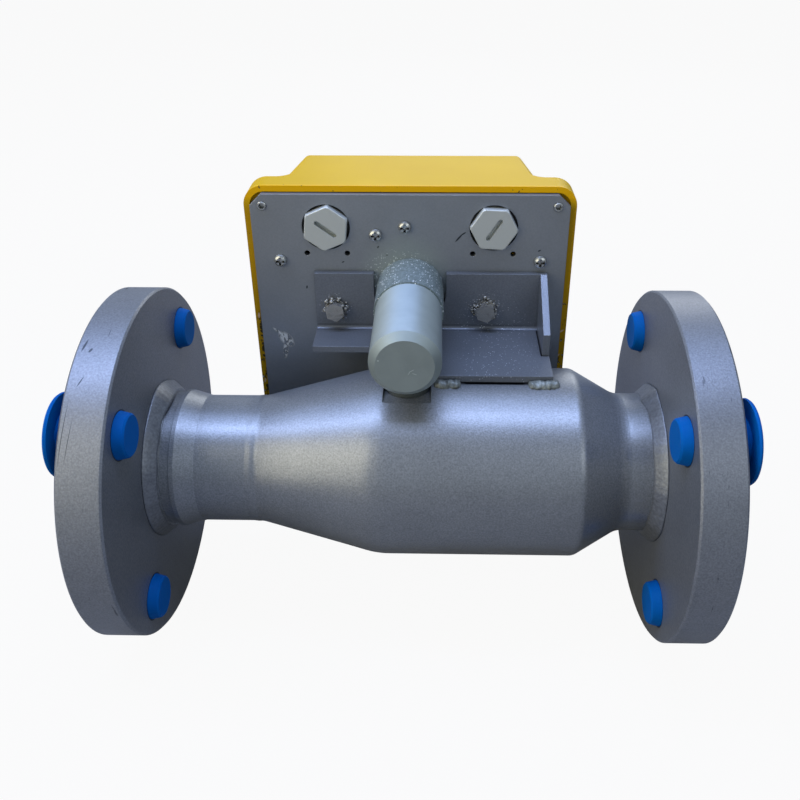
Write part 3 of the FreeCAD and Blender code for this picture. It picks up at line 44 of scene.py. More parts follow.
# Sizes and places of the meter in millimetres, from the centre of the inlet's raised face
LENGTH = 254.0
FLANGE_RADIUS = 76.2
HOLE_AT = 42.66
NECK_RADIUS = 30.0
WELD_FROM_END = 19.1
SEAM_X, TUBE_RADIUS, CONE_SLOPE = 62.5, 27.8, 0.2624
HEAD_X, HEAD_Z = 127.8, 63.8
HOUSING_SIDE_START = -22.6
BRACKET_FACE = 40.1
BOLT_XS, BOLT_Z = (HEAD_X - 34.35, HEAD_X + 34.35), 54.9
TACK_ENDS = ((139.0, 150.5), (178.8, 192.2))
TACK_Y, TACK_Z = -2.2, 41.0
HOOD_RIM_Y = 45.9
DIAL_FACE, DIAL_Z = 79.06, 38.6


# Tools for finishes

def linear(hex_colour, alpha=1.0):
    """An sRGB hex colour as the linear colour that a shader socket takes."""
    parts = [int(hex_colour[i:i + 2], 16) / 255 for i in (1, 3, 5)]
    return tuple(c / 12.92 if c <= 0.04045 else ((c + 0.055) / 1.055) ** 2.4 for c in parts) + (alpha,)


def add_node(tree, kind, links=None, **settings):
    """One shader node with its settings; links maps a socket to a value or to an output."""
    node = tree.nodes.new("ShaderNode" + kind)
    for name, value in settings.items():
        setattr(node, name, value)
    for socket, value in (links or {}).items():
        if isinstance(value, bpy.types.NodeSocket):
            tree.links.new(value, node.inputs[socket])
        else:
            node.inputs[socket].default_value = value
    return node


def per_mm(size_mm):
    """The texture scale at which a pattern repeats about every size_mm on the object."""
    return 1.0 / (size_mm * MM)


def new_finish(name, **sockets):
    """A material with one plain shader; the shader's own sockets are set by name."""
    material = bpy.data.materials.new(name)
    material.use_nodes = True
    tree = material.node_tree
    shader = tree.nodes["Principled BSDF"]
    for socket, value in sockets.items():
        shader.inputs[socket.replace("_", " ")].default_value = value
    return material, tree, shader


def overlap(tree, *masks):
    """The part that all the masks share."""
    shared = masks[0]
    for mask in masks[1:]:
        shared = add_node(tree, "Math", {0: shared, 1: mask}, operation="MULTIPLY").outputs[0]
    return shared


def union(tree, *masks):
    """Everything that any of the masks covers."""
    whole = masks[0]
    for mask in masks[1:]:
        whole = add_node(tree, "Math", {0: whole, 1: mask}, operation="MAXIMUM").outputs[0]
    return whole


def paint_over(tree, colour, tint, *masks):
    """The colour with a tint laid over it where the masks overlap."""
    mask = overlap(tree, *masks)
    laid = add_node(tree, "MixRGB", {"Fac": mask, "Color1": colour, "Color2": linear(tint)})
    return laid.outputs["Color"]


def near_line(tree, place, x, z, core, fade):
    """1 within core mm of the line along Y at x and z, falling to 0 at fade mm."""
    flat = add_node(tree, "VectorMath", {0: place, 1: (1.0, 0.0, 1.0)}, operation="MULTIPLY")
    away = add_node(tree, "VectorMath", {0: flat.outputs[0], 1: (x * MM, 0.0, z * MM)}, operation="DISTANCE")
    return add_node(tree, "MapRange", {"Value": away.outputs["Value"], "From Min": fade * MM,
                                       "From Max": core * MM}).outputs[0]


def inside_box(tree, place, centre, half):
    """1 inside a box given in mm by its centre and half sizes, fading over its outer fifth."""
    moved = add_node(tree, "VectorMath", {0: place, 1: Vector(centre) * MM}, operation="SUBTRACT")
    shrunk = add_node(tree, "VectorMath", {0: moved.outputs[0], 1: Vector(half) * MM}, operation="DIVIDE")
    size = add_node(tree, "VectorMath", {0: shrunk.outputs[0]}, operation="ABSOLUTE")
    split = add_node(tree, "SeparateXYZ", {"Vector": size.outputs[0]})
    widest = union(tree, split.outputs["X"], split.outputs["Y"], split.outputs["Z"])
    return add_node(tree, "MapRange", {"Value": widest, "From Min": 1.0, "From Max": 0.8}).outputs[0]


def spot(tree, place, x, z, length, width, lean):
    """1 inside an ellipse on an upright face, in mm, leaning by so many degrees from level."""
    moved = add_node(tree, "VectorMath", {0: place, 1: (-x * MM, 0.0, -z * MM)}, operation="ADD")
    turned = add_node(tree, "Mapping", {"Vector": moved.outputs[0],
                                        "Rotation": (0.0, math.radians(lean), 0.0)})
    half_sizes = (2 / (length * MM), 0.0, 2 / (width * MM))
    scaled = add_node(tree, "VectorMath", {0: turned.outputs[0], 1: half_sizes}, operation="MULTIPLY")
    away = add_node(tree, "VectorMath", {0: scaled.outputs[0]}, operation="LENGTH")
    return add_node(tree, "MapRange", {"Value": away.outputs["Value"], "From Min": 1.0,
                                       "From Max": 0.6}).outputs[0]


def paint_spots(tree, place, colour, tint, spots, *masks):
    """The colour with the tint laid inside each spot, where the masks overlap it."""
    for measures in spots:
        colour = paint_over(tree, colour, tint, spot(tree, place, *measures), *masks)
    return colour


def glitter(tree, place, size_mm, share):
    """Flakes: 1 in the middle of a share of scattered cells, 0 between them."""
    cells = add_node(tree, "TexVoronoi", {"Vector": place, "Scale": per_mm(size_mm)})
    kind = add_node(tree, "SeparateColor", {"Color": cells.outputs["Color"]})
    chosen = add_node(tree, "Math", {0: kind.outputs[0], 1: 1 - share}, operation="GREATER_THAN")
    core = add_node(tree, "MapRange", {"Value": cells.outputs["Distance"], "From Min": 0.4, "From Max": 0.25})
    return overlap(tree, chosen.outputs[0], core.outputs[0])


# Finishes. A spot is x, z, length and width in millimetres and its lean in degrees.

def sprayed_aluminium_enamel(name, pale, dark, grit_mm=0.7, roughness=0.4, grain=0.32, metallic=0.6,
                             marks_and_shade=None):
    """Aluminium-pigmented enamel sprayed on blasted steel: a grey sheen, a sandy grain, painted shade in its
    corners, and marks laid over it.
    """
    material, tree, shader = new_finish(name, Metallic=metallic, Roughness=roughness)
    place = add_node(tree, "TexCoord").outputs["Object"]
    # Real grit is about 0.3 mm. It is drawn at 0.7 mm or more so that it shows.
    grit = add_node(tree, "TexNoise", {"Vector": place, "Scale": per_mm(grit_mm), "Detail": 3.0})
    cloud = add_node(tree, "TexNoise", {"Vector": place, "Scale": per_mm(26), "Detail": 2.0})
    fleck = add_node(tree, "MapRange", {"Value": grit.outputs["Fac"], "From Min": 0.3, "From Max": 0.72})
    tone = add_node(tree, "MixRGB", {"Fac": fleck.outputs[0], "Color1": linear(dark), "Color2": linear(pale)})
    drift = add_node(tree, "MapRange", {"Value": cloud.outputs["Fac"], "From Min": 0.3, "From Max": 0.7,
                                        "To Min": 0.94, "To Max": 1.04})
    shade = add_node(tree, "MixRGB", {"Fac": 1.0, "Color1": tone.outputs["Color"],
                                      "Color2": drift.outputs[0]}, blend_type="MULTIPLY")
    # Painted shade: the colour darkens in the corners, within about 2.5 mm of another face.
    corner = add_node(tree, "AmbientOcclusion", {"Distance": 2.5 * MM}, samples=8)
    painted_corner_shade = add_node(tree, "MapRange", {"Value": corner.outputs["AO"], "From Min": 0.7, "From Max": 0.2,
                                        "To Max": 0.6})
    colour = paint_over(tree, shade.outputs["Color"], "#32363C", painted_corner_shade.outputs[0])
    # The marks laid over the colour are real marks of use on some parts, and painted shade or painted shadow
    # on others.
    if marks_and_shade:
        colour = marks_and_shade(tree, place, colour)
    tree.links.new(colour, shader.inputs["Base Color"])
    # Paint rounds every edge to about 0.4 mm, so edges catch the light.
    soft_edge = add_node(tree, "Bevel", {"Radius": 0.4 * MM}, samples=4)
    bump = add_node(tree, "Bump", {"Height": grit.outputs["Fac"], "Strength": grain, "Distance": 0.2 * MM,
                                   "Normal": soft_edge.outputs["Normal"]})
    tree.links.new(bump.outputs["Normal"], shader.inputs["Normal"])
    return material


FLANGE_RUBS = (
    (4.6, 72.0, 2.6, 1.0, 60.0), (7.5, 71.2, 1.8, 0.7, 20.0), (7.0, 65.0, 3.4, 0.5, 50.0),
    (3.6, 52.0, 20.0, 0.35, 86.0), (6.0, 50.0, 14.0, 0.3, 83.0),
    (252.2, 71.4, 2.8, 1.2, 120.0), (253.4, 66.0, 5.0, 0.8, 95.0))


def rubs_and_plug_shadow(tree, place, colour):
    """Marks of the flanges: thin dark rubs along the rim from handling, and a painted shadow, a dark line
    round each hole's plug where the gap is.
    """
    split = add_node(tree, "SeparateXYZ", {"Vector": place})
    across = add_node(tree, "CombineXYZ", {"Y": split.outputs["Y"], "Z": split.outputs["Z"]})
    radius = add_node(tree, "VectorMath", {0: across.outputs[0]}, operation="LENGTH")
    near_rim = add_node(tree, "MapRange", {"Value": radius.outputs["Value"],
                                           "From Min": (FLANGE_RADIUS - 0.9) * MM,
                                           "From Max": (FLANGE_RADIUS - 0.1) * MM}).outputs[0]
    drawn_out = add_node(tree, "Mapping", {"Vector": place, "Scale": (1.6, 0.22, 0.22)})
    rub = add_node(tree, "TexNoise", {"Vector": drawn_out.outputs[0], "Scale": per_mm(2.6), "Detail": 4.0})
    worn = add_node(tree, "MapRange", {"Value": rub.outputs["Fac"], "From Min": 0.68, "From Max": 0.74})
    colour = paint_over(tree, colour, "#45494F", near_rim, worn.outputs[0])
    colour = paint_spots(tree, place, colour, "#3C4046", FLANGE_RUBS, near_rim)
    # Painted shadow: a near-black ring round each plug stands for the shaded gap between plug and hole.
    folded = add_node(tree, "VectorMath", {0: across.outputs[0]}, operation="ABSOLUTE")
    from_hole = add_node(tree, "VectorMath", {0: folded.outputs[0], 1: (0.0, HOLE_AT * MM, HOLE_AT * MM)},
                         operation="DISTANCE")
    painted_plug_ring_shadow = add_node(tree, "MapRange", {"Value": from_hole.outputs["Value"], "From Min": 10.2 * MM,
                                            "From Max": 9.8 * MM})
    return paint_over(tree, colour, "#0E1116", painted_plug_ring_shadow.outputs[0])


def painted_gap_shadow(tree, place, colour):
    """Painted shadow on the drum: near black fills the gap under the bracket's leg between its two tacks."""
    # Painted shadow: the drum's colour turns near black inside this box.
    gap = inside_box(tree, place, (164.7, -1.4, TACK_Z), (15.0, 0.8, 4.0))
    return paint_over(tree, colour, "#0A0C0E", gap)


PLATE_RUB = ((68.8, 36.8, 10.5, 6.2, -52.0), (68.0, 31.0, 10.5, 2.8, 84.0), (65.2, 40.8, 7.0, 1.5, -42.0))
PLATE_SPECKS = (
    (149.6, 89.0, 6.0, 1.0, 50.0), (151.6, 91.0, 3.0, 0.8, 35.0), (113.6, 84.4, 1.6, 0.9, 60.0),
    (117.5, 80.5, 1.2, 0.8, 0.0), (97.6, 77.0, 1.6, 0.7, 20.0), (80.4, 64.3, 2.0, 0.9, 80.0),
    (185.5, 83.0, 1.8, 0.8, 30.0))


def plate_marks(tree, place, colour):
    """Wear of the back plate: a pale rubbed patch, dark specks, and haze and glitter round the can."""
    rubs = add_node(tree, "Mapping", {"Vector": place, "Rotation": (0.0, 0.5, 0.0), "Scale": (1.6, 1.0, 0.8)})
    streak = add_node(tree, "TexNoise", {"Vector": rubs.outputs[0], "Scale": per_mm(1.9), "Detail": 6.0})
    bare = add_node(tree, "MapRange", {"Value": streak.outputs["Fac"], "From Min": 0.45, "From Max": 0.51})
    edge = add_node(tree, "MapRange", {"Value": streak.outputs["Fac"], "From Min": 0.4, "From Max": 0.45})
    patch = union(tree, *(spot(tree, place, *measures) for measures in PLATE_RUB))
    colour = paint_over(tree, colour, "#5E5B52", patch, edge.outputs[0])
    colour = paint_over(tree, colour, "#D4D6D2", patch, bare.outputs[0])
    colour = paint_spots(tree, place, colour, "#303438", PLATE_SPECKS)
    hazy = near_line(tree, place, HEAD_X - 2, HEAD_Z + 4, 10.0, 24.0)
    colour = paint_over(tree, colour, "#A3B0A8", hazy, 0.45)
    dusted = near_line(tree, place, HEAD_X - 4, HEAD_Z, 14.0, 21.0)
    return paint_over(tree, colour, "#DCE4E4", dusted, glitter(tree, place, 0.8, 0.42))


def bend_shade_grease_and_swarf(tree, place, colour):
    """Marks on the bracket: painted shade along the inside of its fold, and grease and swarf round the bolts
    and over the leg.
    """
    # Painted shade: the inner fold of the sheet is darkened, as a shaded crease.
    bend = inside_box(tree, place, (HEAD_X, 39.3, 45.8), (60.0, 1.6, 1.4))
    colour = paint_over(tree, colour, "#2E3238", bend, 0.35)
    round_bolts = union(tree, near_line(tree, place, BOLT_XS[0], BOLT_Z, 5.2, 8.5),
                        near_line(tree, place, BOLT_XS[1], BOLT_Z, 5.2, 9.0))
    over_leg = overlap(tree, near_line(tree, place, 163.0, 45.0, 12.0, 26.0),
                       near_line(tree, place, 168.0, 45.0, 12.0, 24.0))
    colour = paint_over(tree, colour, "#6B675F", round_bolts, glitter(tree, place, 1.6, 0.45))
    swarf = union(tree, overlap(tree, round_bolts, glitter(tree, place, 0.9, 0.3)),
                  overlap(tree, over_leg, glitter(tree, place, 0.6, 0.1)))
    return paint_over(tree, colour, "#CDD3D8", swarf)


HOUSING_SCRATCHES = ((130.4, 62.0, 3.0, 0.3, 30.0), (131.6, 60.6, 2.4, 0.3, -20.0),
                     (129.4, 60.9, 2.0, 0.25, 60.0), (117.5, 66.5, 0.9, 0.8, 0.0))


def turned_stainless(name, colour, sheen):
    """Lathe-turned stainless steel: satin, its sheen drawn out along the Y axis by the tool marks, and a
    painted sheen that makes the round side paler.
    """
    material, tree, shader = new_finish(name, Metallic=0.7, Roughness=0.55, Anisotropic_Rotation=0.25)
    place = add_node(tree, "TexCoord").outputs["Object"]
    # The end face and its chamfer are dull; only the round side keeps the drawn-out sheen and the paler
    # painted sheen colour.
    split = add_node(tree, "SeparateXYZ", {"Vector": place})
    side = add_node(tree, "MapRange", {"Value": split.outputs["Y"], "From Min": HOUSING_SIDE_START * MM,
                                       "From Max": (HOUSING_SIDE_START + 0.4) * MM, "To Max": 0.8}).outputs[0]
    tree.links.new(side, shader.inputs["Anisotropic"])
    round_axis = add_node(tree, "Tangent", direction_type="RADIAL", axis="Y")
    tree.links.new(round_axis.outputs[0], shader.inputs["Tangent"])
    cloud = add_node(tree, "TexNoise", {"Vector": place, "Scale": per_mm(9), "Detail": 3.0})
    drift = add_node(tree, "MapRange", {"Value": cloud.outputs["Fac"], "From Min": 0.3, "From Max": 0.7,
                                        "To Min": 0.93, "To Max": 1.05})
    # Painted sheen: the round side takes the paler colour, a lit copy of the end face's colour.
    bright = paint_over(tree, linear(colour), sheen, side)
    tone = add_node(tree, "MixRGB", {"Fac": 1.0, "Color1": bright, "Color2": drift.outputs[0]},
                    blend_type="MULTIPLY")
    scratched = paint_spots(tree, place, tone.outputs["Color"], "#B9C2C0", HOUSING_SCRATCHES)
    tree.links.new(scratched, shader.inputs["Base Color"])
    return material


def flaked_coat(name):
    """The rough, glittering coat on the can: grey with fine white flakes and dark pores."""
    material, tree, shader = new_finish(name, Metallic=0.4, Roughness=0.45)
    place = add_node(tree, "TexCoord").outputs["Object"]
    lump = add_node(tree, "TexNoise", {"Vector": place, "Scale": per_mm(1.8), "Detail": 4.0})
    base = add_node(tree, "MixRGB", {"Fac": lump.outputs["Fac"], "Color1": linear("#535E5C"),
                                     "Color2": linear("#93A09F")})
    # Flakes are about 0.3 mm, drawn at twice that and more so that they show.
    colour = paint_over(tree, base.outputs["Color"], "#C4D0D0", glitter(tree, place, 0.6, 0.22))
    colour = paint_over(tree, colour, "#F4F8F8", glitter(tree, place, 1.0, 0.2))
    tree.links.new(colour, shader.inputs["Base Color"])
    bump = add_node(tree, "Bump", {"Height": lump.outputs["Fac"], "Strength": 0.6, "Distance": 0.5 * MM})
    tree.links.new(bump.outputs["Normal"], shader.inputs["Normal"])
    return material


HOOD_CHIPS = ((56.3, 48.1, 3.4, 1.3, 85.0), (198.7, 40.7, 3.6, 1.0, 35.0),
              (198.3, 27.5, 2.8, 0.8, 50.0), (56.0, 12.0, 3.0, 1.0, 80.0))


def yellow_powder_coat(name):
    """Golden-yellow polyester powder coat on sheet steel: glossy, faint orange peel, chipped rim."""
    material, tree, shader = new_finish(name, Roughness=0.46, Specular_IOR_Level=0.14)
    place = add_node(tree, "TexCoord").outputs["Object"]
    split = add_node(tree, "SeparateXYZ", {"Vector": place})
    height = split.outputs["Z"]
    cloud = add_node(tree, "TexNoise", {"Vector": place, "Scale": per_mm(30), "Detail": 2.0})
    tone = add_node(tree, "MixRGB", {"Fac": cloud.outputs["Fac"], "Color1": linear("#C09800"),
                                     "Color2": linear("#CAA202")})
    on_rim = add_node(tree, "MapRange", {"Value": split.outputs["Y"], "From Min": (HOOD_RIM_Y + 1.7) * MM,
                                         "From Max": HOOD_RIM_Y * MM}).outputs[0]
    # Painted light and shade: the rim's front is made lighter along the top, where the light falls, and
    # darker down the sides.
    high = add_node(tree, "MapRange", {"Value": height, "From Min": 104 * MM, "From Max": 107 * MM})
    low = add_node(tree, "MapRange", {"Value": height, "From Min": 107 * MM, "From Max": 100 * MM})
    colour = paint_over(tree, tone.outputs["Color"], "#DCA800", on_rim, high.outputs[0])
    colour = paint_over(tree, colour, "#AE8602", on_rim, low.outputs[0])
    # Most chips are low on the rim, where the meter was set down.
    chip = add_node(tree, "TexNoise", {"Vector": place, "Scale": per_mm(1.8), "Detail": 4.0})
    often = add_node(tree, "MapRange", {"Value": height, "From Min": 70 * MM, "From Max": 10 * MM,
                                        "To Max": 0.14})
    raised = add_node(tree, "Math", {0: chip.outputs["Fac"], 1: often.outputs[0]}, operation="ADD")
    lost = add_node(tree, "MapRange", {"Value": raised.outputs[0], "From Min": 0.70, "From Max": 0.73})
    deep = add_node(tree, "MapRange", {"Value": raised.outputs[0], "From Min": 0.76, "From Max": 0.79})
    colour = paint_over(tree, colour, "#4A3D24", on_rim, lost.outputs[0])
    colour = paint_over(tree, colour, "#A9A6A0", on_rim, deep.outputs[0])
    # The colour runs dark and patchy down the inner edge of the rim at the inlet side, by the plate.
    dark_inner_edge = inside_box(tree, place, (57.4, 45.0, 16.0), (1.5, 3.0, 36.0))
    patchy = add_node(tree, "MapRange", {"Value": chip.outputs["Fac"], "From Min": 0.43, "From Max": 0.49})
    colour = paint_over(tree, colour, "#40371A", dark_inner_edge, patchy.outputs[0])
    colour = paint_spots(tree, place, colour, "#C9AC8C", HOOD_CHIPS, on_rim)
    tree.links.new(colour, shader.inputs["Base Color"])
    # Orange peel swells are about 2 mm apart.
    peel = add_node(tree, "TexNoise", {"Vector": place, "Scale": per_mm(2.0), "Detail": 1.0})
    bump = add_node(tree, "Bump", {"Height": peel.outputs["Fac"], "Strength": 0.1, "Distance": 0.1 * MM})
    tree.links.new(bump.outputs["Normal"], shader.inputs["Normal"])
    return material


def zinc_plate(name, colour, metallic):
    """Bright zinc plate on steel: a clouded mirror, patches of brown grease, and painted shade in its
    hollows.
    """
    material, tree, shader = new_finish(name, Metallic=metallic, Roughness=0.26)
    place = add_node(tree, "TexCoord").outputs["Object"]
    cloud = add_node(tree, "TexNoise", {"Vector": place, "Scale": per_mm(2.5), "Detail": 3.0})
    grease = add_node(tree, "MapRange", {"Value": cloud.outputs["Fac"], "From Min": 0.58, "From Max": 0.72})
    # Painted shade: hollows within about 1.2 mm darken to near black.
    hollow = add_node(tree, "AmbientOcclusion", {"Distance": 1.2 * MM}, samples=8)
    painted_hollow_shade = add_node(tree, "MapRange", {"Value": hollow.outputs["AO"], "From Min": 0.7, "From Max": 0.3})
    greased = paint_over(tree, linear(colour), "#6F6C66", grease.outputs[0])
    shaded_in_hollows = paint_over(tree, greased, "#1E1E1C", painted_hollow_shade.outputs[0])
    tree.links.new(shaded_in_hollows, shader.inputs["Base Color"])
    dents = add_node(tree, "Bump", {"Height": cloud.outputs["Fac"], "Strength": 0.5, "Distance": 0.5 * MM})
    tree.links.new(dents.outputs["Normal"], shader.inputs["Normal"])
    return material


def moulded_polythene(name):
    """Soft blue low-density polythene, injection moulded: waxy gloss and slight see-through depth."""
    material, tree, shader = new_finish(
        name, Base_Color=linear("#00559E"), Roughness=0.6, Specular_IOR_Level=0.05, IOR=1.51,
        Subsurface_Weight=0.12, Subsurface_Scale=1.5 * MM)
    place = add_node(tree, "TexCoord").outputs["Object"]
    skin = add_node(tree, "TexNoise", {"Vector": place, "Scale": per_mm(4), "Detail": 2.0})
    bump = add_node(tree, "Bump", {"Height": skin.outputs["Fac"], "Strength": 0.12, "Distance": 0.2 * MM})
    tree.links.new(bump.outputs["Normal"], shader.inputs["Normal"])
    return material


def plain_finish(name, colour, metallic, roughness, **more):
    """One even colour and gloss, for small or hidden pieces."""
    return new_finish(name, Base_Color=linear(colour), Metallic=metallic, Roughness=roughness, **more)[0]


# One enamel, whose tone, grain and gloss vary with what it covers: smooth on the plate and the
# bracket, sandy on pipe and flanges, coarse on the welds.
# The marks given to the drum, the flanges and the bracket include painted shade and painted shadow.
pipe_enamel = sprayed_aluminium_enamel("pipe enamel", "#8D9195", "#73777B", roughness=0.345, marks_and_shade=painted_gap_shadow)
flange_enamel = sprayed_aluminium_enamel("flange enamel", "#82868C", "#6C7076", roughness=0.42,
                                         marks_and_shade=rubs_and_plug_shadow)
plate_enamel = sprayed_aluminium_enamel("plate enamel", "#8A8F94", "#84898E", roughness=0.45, grain=0.07,
                                        marks_and_shade=plate_marks)
bracket_enamel = sprayed_aluminium_enamel("bracket enamel", "#787D84", "#6C7178", roughness=0.42, grain=0.12,
                                          marks_and_shade=bend_shade_grease_and_swarf)
weld_enamel = sprayed_aluminium_enamel("weld enamel", "#7A7E83", "#62666B", grit_mm=1.1, grain=0.4)
tack_enamel = sprayed_aluminium_enamel("tack enamel", "#868C88", "#565B58", grit_mm=1.4, roughness=0.5,
                                       grain=0.9, metallic=0.4)
# Painted shade: the housing stub's enamel is a darker copy of the pipe's, for the shade under the housing.
shaded_stub_enamel = sprayed_aluminium_enamel("stub enamel", "#4C5250", "#3C4240", roughness=0.5, metallic=0.3)
# The second colour is the painted sheen on the housing's round side.
turned_housing = turned_stainless("turned housing", "#8E9895", "#A1ADB0")
rough_can = flaked_coat("rough can")
hood_coat = yellow_powder_coat("hood powder coat")
bright_zinc = zinc_plate("bright zinc", "#A9ABA8", metallic=0.8)
greasy_zinc = zinc_plate("greasy zinc", "#A09F9A", metallic=0.75)
blue_polythene = moulded_polythene("blue polythene")
# Nickel plate dulled by handling: a soft grey gleam.
dull_nickel = plain_finish("dull nickel", "#B8BDBA", 0.4, 0.45)
# Ground stainless steel: a fine, even shine.
ground_stainless = plain_finish("ground stainless", "#B9BAB8", 1.0, 0.3)
# Rolled brass: a warm, slightly hazy mirror.
rolled_brass = plain_finish("rolled brass", "#C9A85A", 1.0, 0.32)
# Pressed carbon: near black with a faint sheen.
pressed_carbon = plain_finish("pressed carbon", "#1E1E20", 0.0, 0.55)
# Sintered magnet: dark grey and half dull.
sintered_magnet = plain_finish("sintered magnet", "#3A3A3C", 0.6, 0.5)
# Nitrile rubber, moulded: black and matt.
moulded_nitrile = plain_finish("moulded nitrile rubber", "#141414", 0.0, 0.6)
# Old grease: grey, with a wet shine.
old_grease = plain_finish("old grease", "#84837C", 0.3, 0.22)
# Stoved enamel on the dial and its marks: even, half matt.
dial_enamel = plain_finish("white dial enamel", "#F0F0EC", 0.0, 0.45)
black_enamel = plain_finish("matt black enamel", "#101010", 0.0, 0.55)
# Float glass: clear and polished.
float_glass = plain_finish("float glass", "#FFFFFF", 0.0, 0.02, Transmission_Weight=1.0, IOR=1.5)

FINISH_OF = {
    flange_enamel: "inlet_flange outlet_flange",
    pipe_enamel: "inlet_tube seam_weld meter_body",
    shaded_stub_enamel: "housing_stub",
    plate_enamel: "back_plate",
    bracket_enamel: "bracket",
    weld_enamel: "inlet_weld outlet_weld bracket_welds",
    turned_housing: "shaft_housing",
    rough_can: "coupling_can",
    hood_coat: "hood",
    bright_zinc: "plate_screws corner_screws retainer_screws dial_screws window_retainer",
    greasy_zinc: "bracket_bolts bracket_washers bracket_nuts",
    dull_nickel: "hex_plugs entry_bushes",
    blue_polythene: "inlet_hole_plugs outlet_hole_plugs",
    ground_stainless: "seat_ring flap_shaft flap_lever target_disc disc_screw return_spring"
                      " follower_spindle pointer_spindle",
    rolled_brass: "movement_bushes rear_movement_plate front_movement_plate movement_posts sector_gear",
    pressed_carbon: "shaft_bushes",
    sintered_magnet: "drive_magnet follower_magnet",
    moulded_nitrile: "can_seal hood_gasket window_seal entry_seals",
    dial_enamel: "dial_plate",
    black_enamel: "pointer",
    float_glass: "window_glass",
}
for finish, names in FINISH_OF.items():
    for name in names.split():
        piece = nodes[name]
        piece.data.materials.clear()
        piece.data.materials.append(finish)


# Pieces that the solids only block out

def mesh_piece(name, points, faces, finish, smooth=True):
    """A mesh given in millimetres in the meter's frame."""
    data = bpy.data.meshes.new(name)
    data.from_pydata([Vector(point) * MM for point in points], [], faces)
    data.materials.append(finish)
    if smooth:
        data.shade_smooth()
    data.validate()
    made = bpy.data.objects.new(name, data)
    bpy.context.scene.collection.objects.link(made)
    return made


def quads(rings, row, first=0, round_rings=False, round_row=False):
    """Faces between neighbouring rings of row points each; a round one joins its end to its start."""
    faces = []
    for i in range(rings if round_rings else rings - 1):
        for j in range(row if round_row else row - 1):
            ring, next_ring = first + i * row, first + (i + 1) % rings * row
            next_j = (j + 1) % row
            faces.append((ring + j, ring + next_j, next_ring + next_j, next_ring + j))
    return faces


def weld_bead(name, root_x, outward, lumps):
    """A hand-laid fillet weld round the neck: ripples, an uneven toe and lumps (angle, height, width)."""
    steps, profile, ripples = 300, 9, 62
    reach_mm, rise_mm, skin_mm = 5.0, 4.7, 0.2
    points = []
    for i in range(steps):
        turn = 2 * math.pi * i / steps
        out_y, out_z = math.sin(turn), math.cos(turn)
        wander = noise.noise(Vector((out_z * 3.1, out_y * 3.1, root_x)))
        lump = sum(height * math.exp(-((turn - at + math.pi) % (2 * math.pi) - math.pi) ** 2 / width ** 2)
                   for at, height, width in lumps)
        reach = reach_mm + 0.5 * wander + lump
        rise = rise_mm + 0.4 * wander + lump
        for j in range(profile):
            t = j / (profile - 1)
            ripple = math.sin(turn * ripples + 2.4 * math.sin(t * math.pi))
            bulge = math.sin(t * math.pi) * (0.35 + 0.25 * wander + 0.06 * ripple)
            radius = NECK_RADIUS + skin_mm + rise * (1 - t) ** 1.1 + bulge
            points.append((root_x + outward * reach * t, radius * out_y, radius * out_z))
        points.append((root_x + outward * reach, NECK_RADIUS * out_y, NECK_RADIUS * out_z))
        points.append((root_x, NECK_RADIUS * out_y, NECK_RADIUS * out_z))
    faces = quads(steps, profile + 2, round_rings=True, round_row=True)
    if outward > 0:
        faces = [(d, c, b, a) for a, b, c, d in faces]
    return mesh_piece(name, points, faces, weld_enamel)


inlet_bead = weld_bead("inlet_bead", WELD_FROM_END, 1, [(0.0, 1.3, 0.28), (3.4, 0.5, 0.2)])
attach(inlet_bead, "meter")
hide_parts("inlet_weld")
outlet_bead = weld_bead("outlet_bead", LENGTH - WELD_FROM_END, -1,
                        [(0.1, 1.2, 0.15), (3.0, 1.0, 0.15), (4.4, 0.5, 0.2)])
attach(outlet_bead, "meter")
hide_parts("outlet_weld")


def seam_bead():
    """The seam between tube and chamber: a low soft swell, dressed smooth before painting."""
    steps, across = 160, 12
    width, height, sunk = 7.0, 0.24, 0.03
    cone_x = SEAM_X + 1.25
    points = []
    for i in range(steps):
        turn = 2 * math.pi * i / steps
        uneven = 0.08 * noise.noise(Vector((math.cos(turn) * 4, math.sin(turn) * 4, 1.0)))
        for j in range(across + 1):
            t = j / across
            x = SEAM_X + (t - 0.5) * width
            swell = (height + uneven) * (1 - math.cos(2 * math.pi * t)) / 2 - sunk
            radius = TUBE_RADIUS + swell + max(0.0, x - cone_x) * CONE_SLOPE
            points.append((x, radius * math.sin(turn), radius * math.cos(turn)))
    return mesh_piece("seam_swell", points, quads(steps, across + 1, round_rings=True), pipe_enamel)


seam = seam_bead()
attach(seam, "meter")
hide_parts("seam_weld")


def tack_beads():
    """Two short uneven welds along the leg's front edge."""
    rings, around = 48, 16
    points, faces = [], []
    for (start, end), seed in zip(TACK_ENDS, (1.0, 5.0)):
        first = len(points)
        for i in range(rings):
            t = i / (rings - 1)
            x = start + (end - start) * t
            swell = math.sqrt(max(0.0, 1 - abs(2 * t - 1) ** 7)) * 0.9 + 0.1
            for j in range(around):
                turn = 2 * math.pi * j / around
                rough = noise.noise(Vector((x * 0.6, math.cos(turn) * 1.9, math.sin(turn) * 1.9 + seed)))
                ridge = 0.05 * math.sin(x * 3.4 + 1.5 * math.cos(turn))
                radius = (2.5 + 0.9 * rough + ridge) * swell
                y = TACK_Y + radius * 1.2 * math.cos(turn)
                points.append((x, y, TACK_Z + radius * 0.9 * math.sin(turn)))
        faces += [(a, d, c, b) for a, b, c, d in quads(rings, around, first, round_row=True)]
        last = first + (rings - 1) * around
        faces.append(tuple(range(first, first + around)))
        faces.append(tuple(range(last + around - 1, last - 1, -1)))
    return mesh_piece("bracket_tacks", points, faces, tack_enamel)


bracket_tacks = tack_beads()
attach(bracket_tacks, "meter")
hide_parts("bracket_welds")


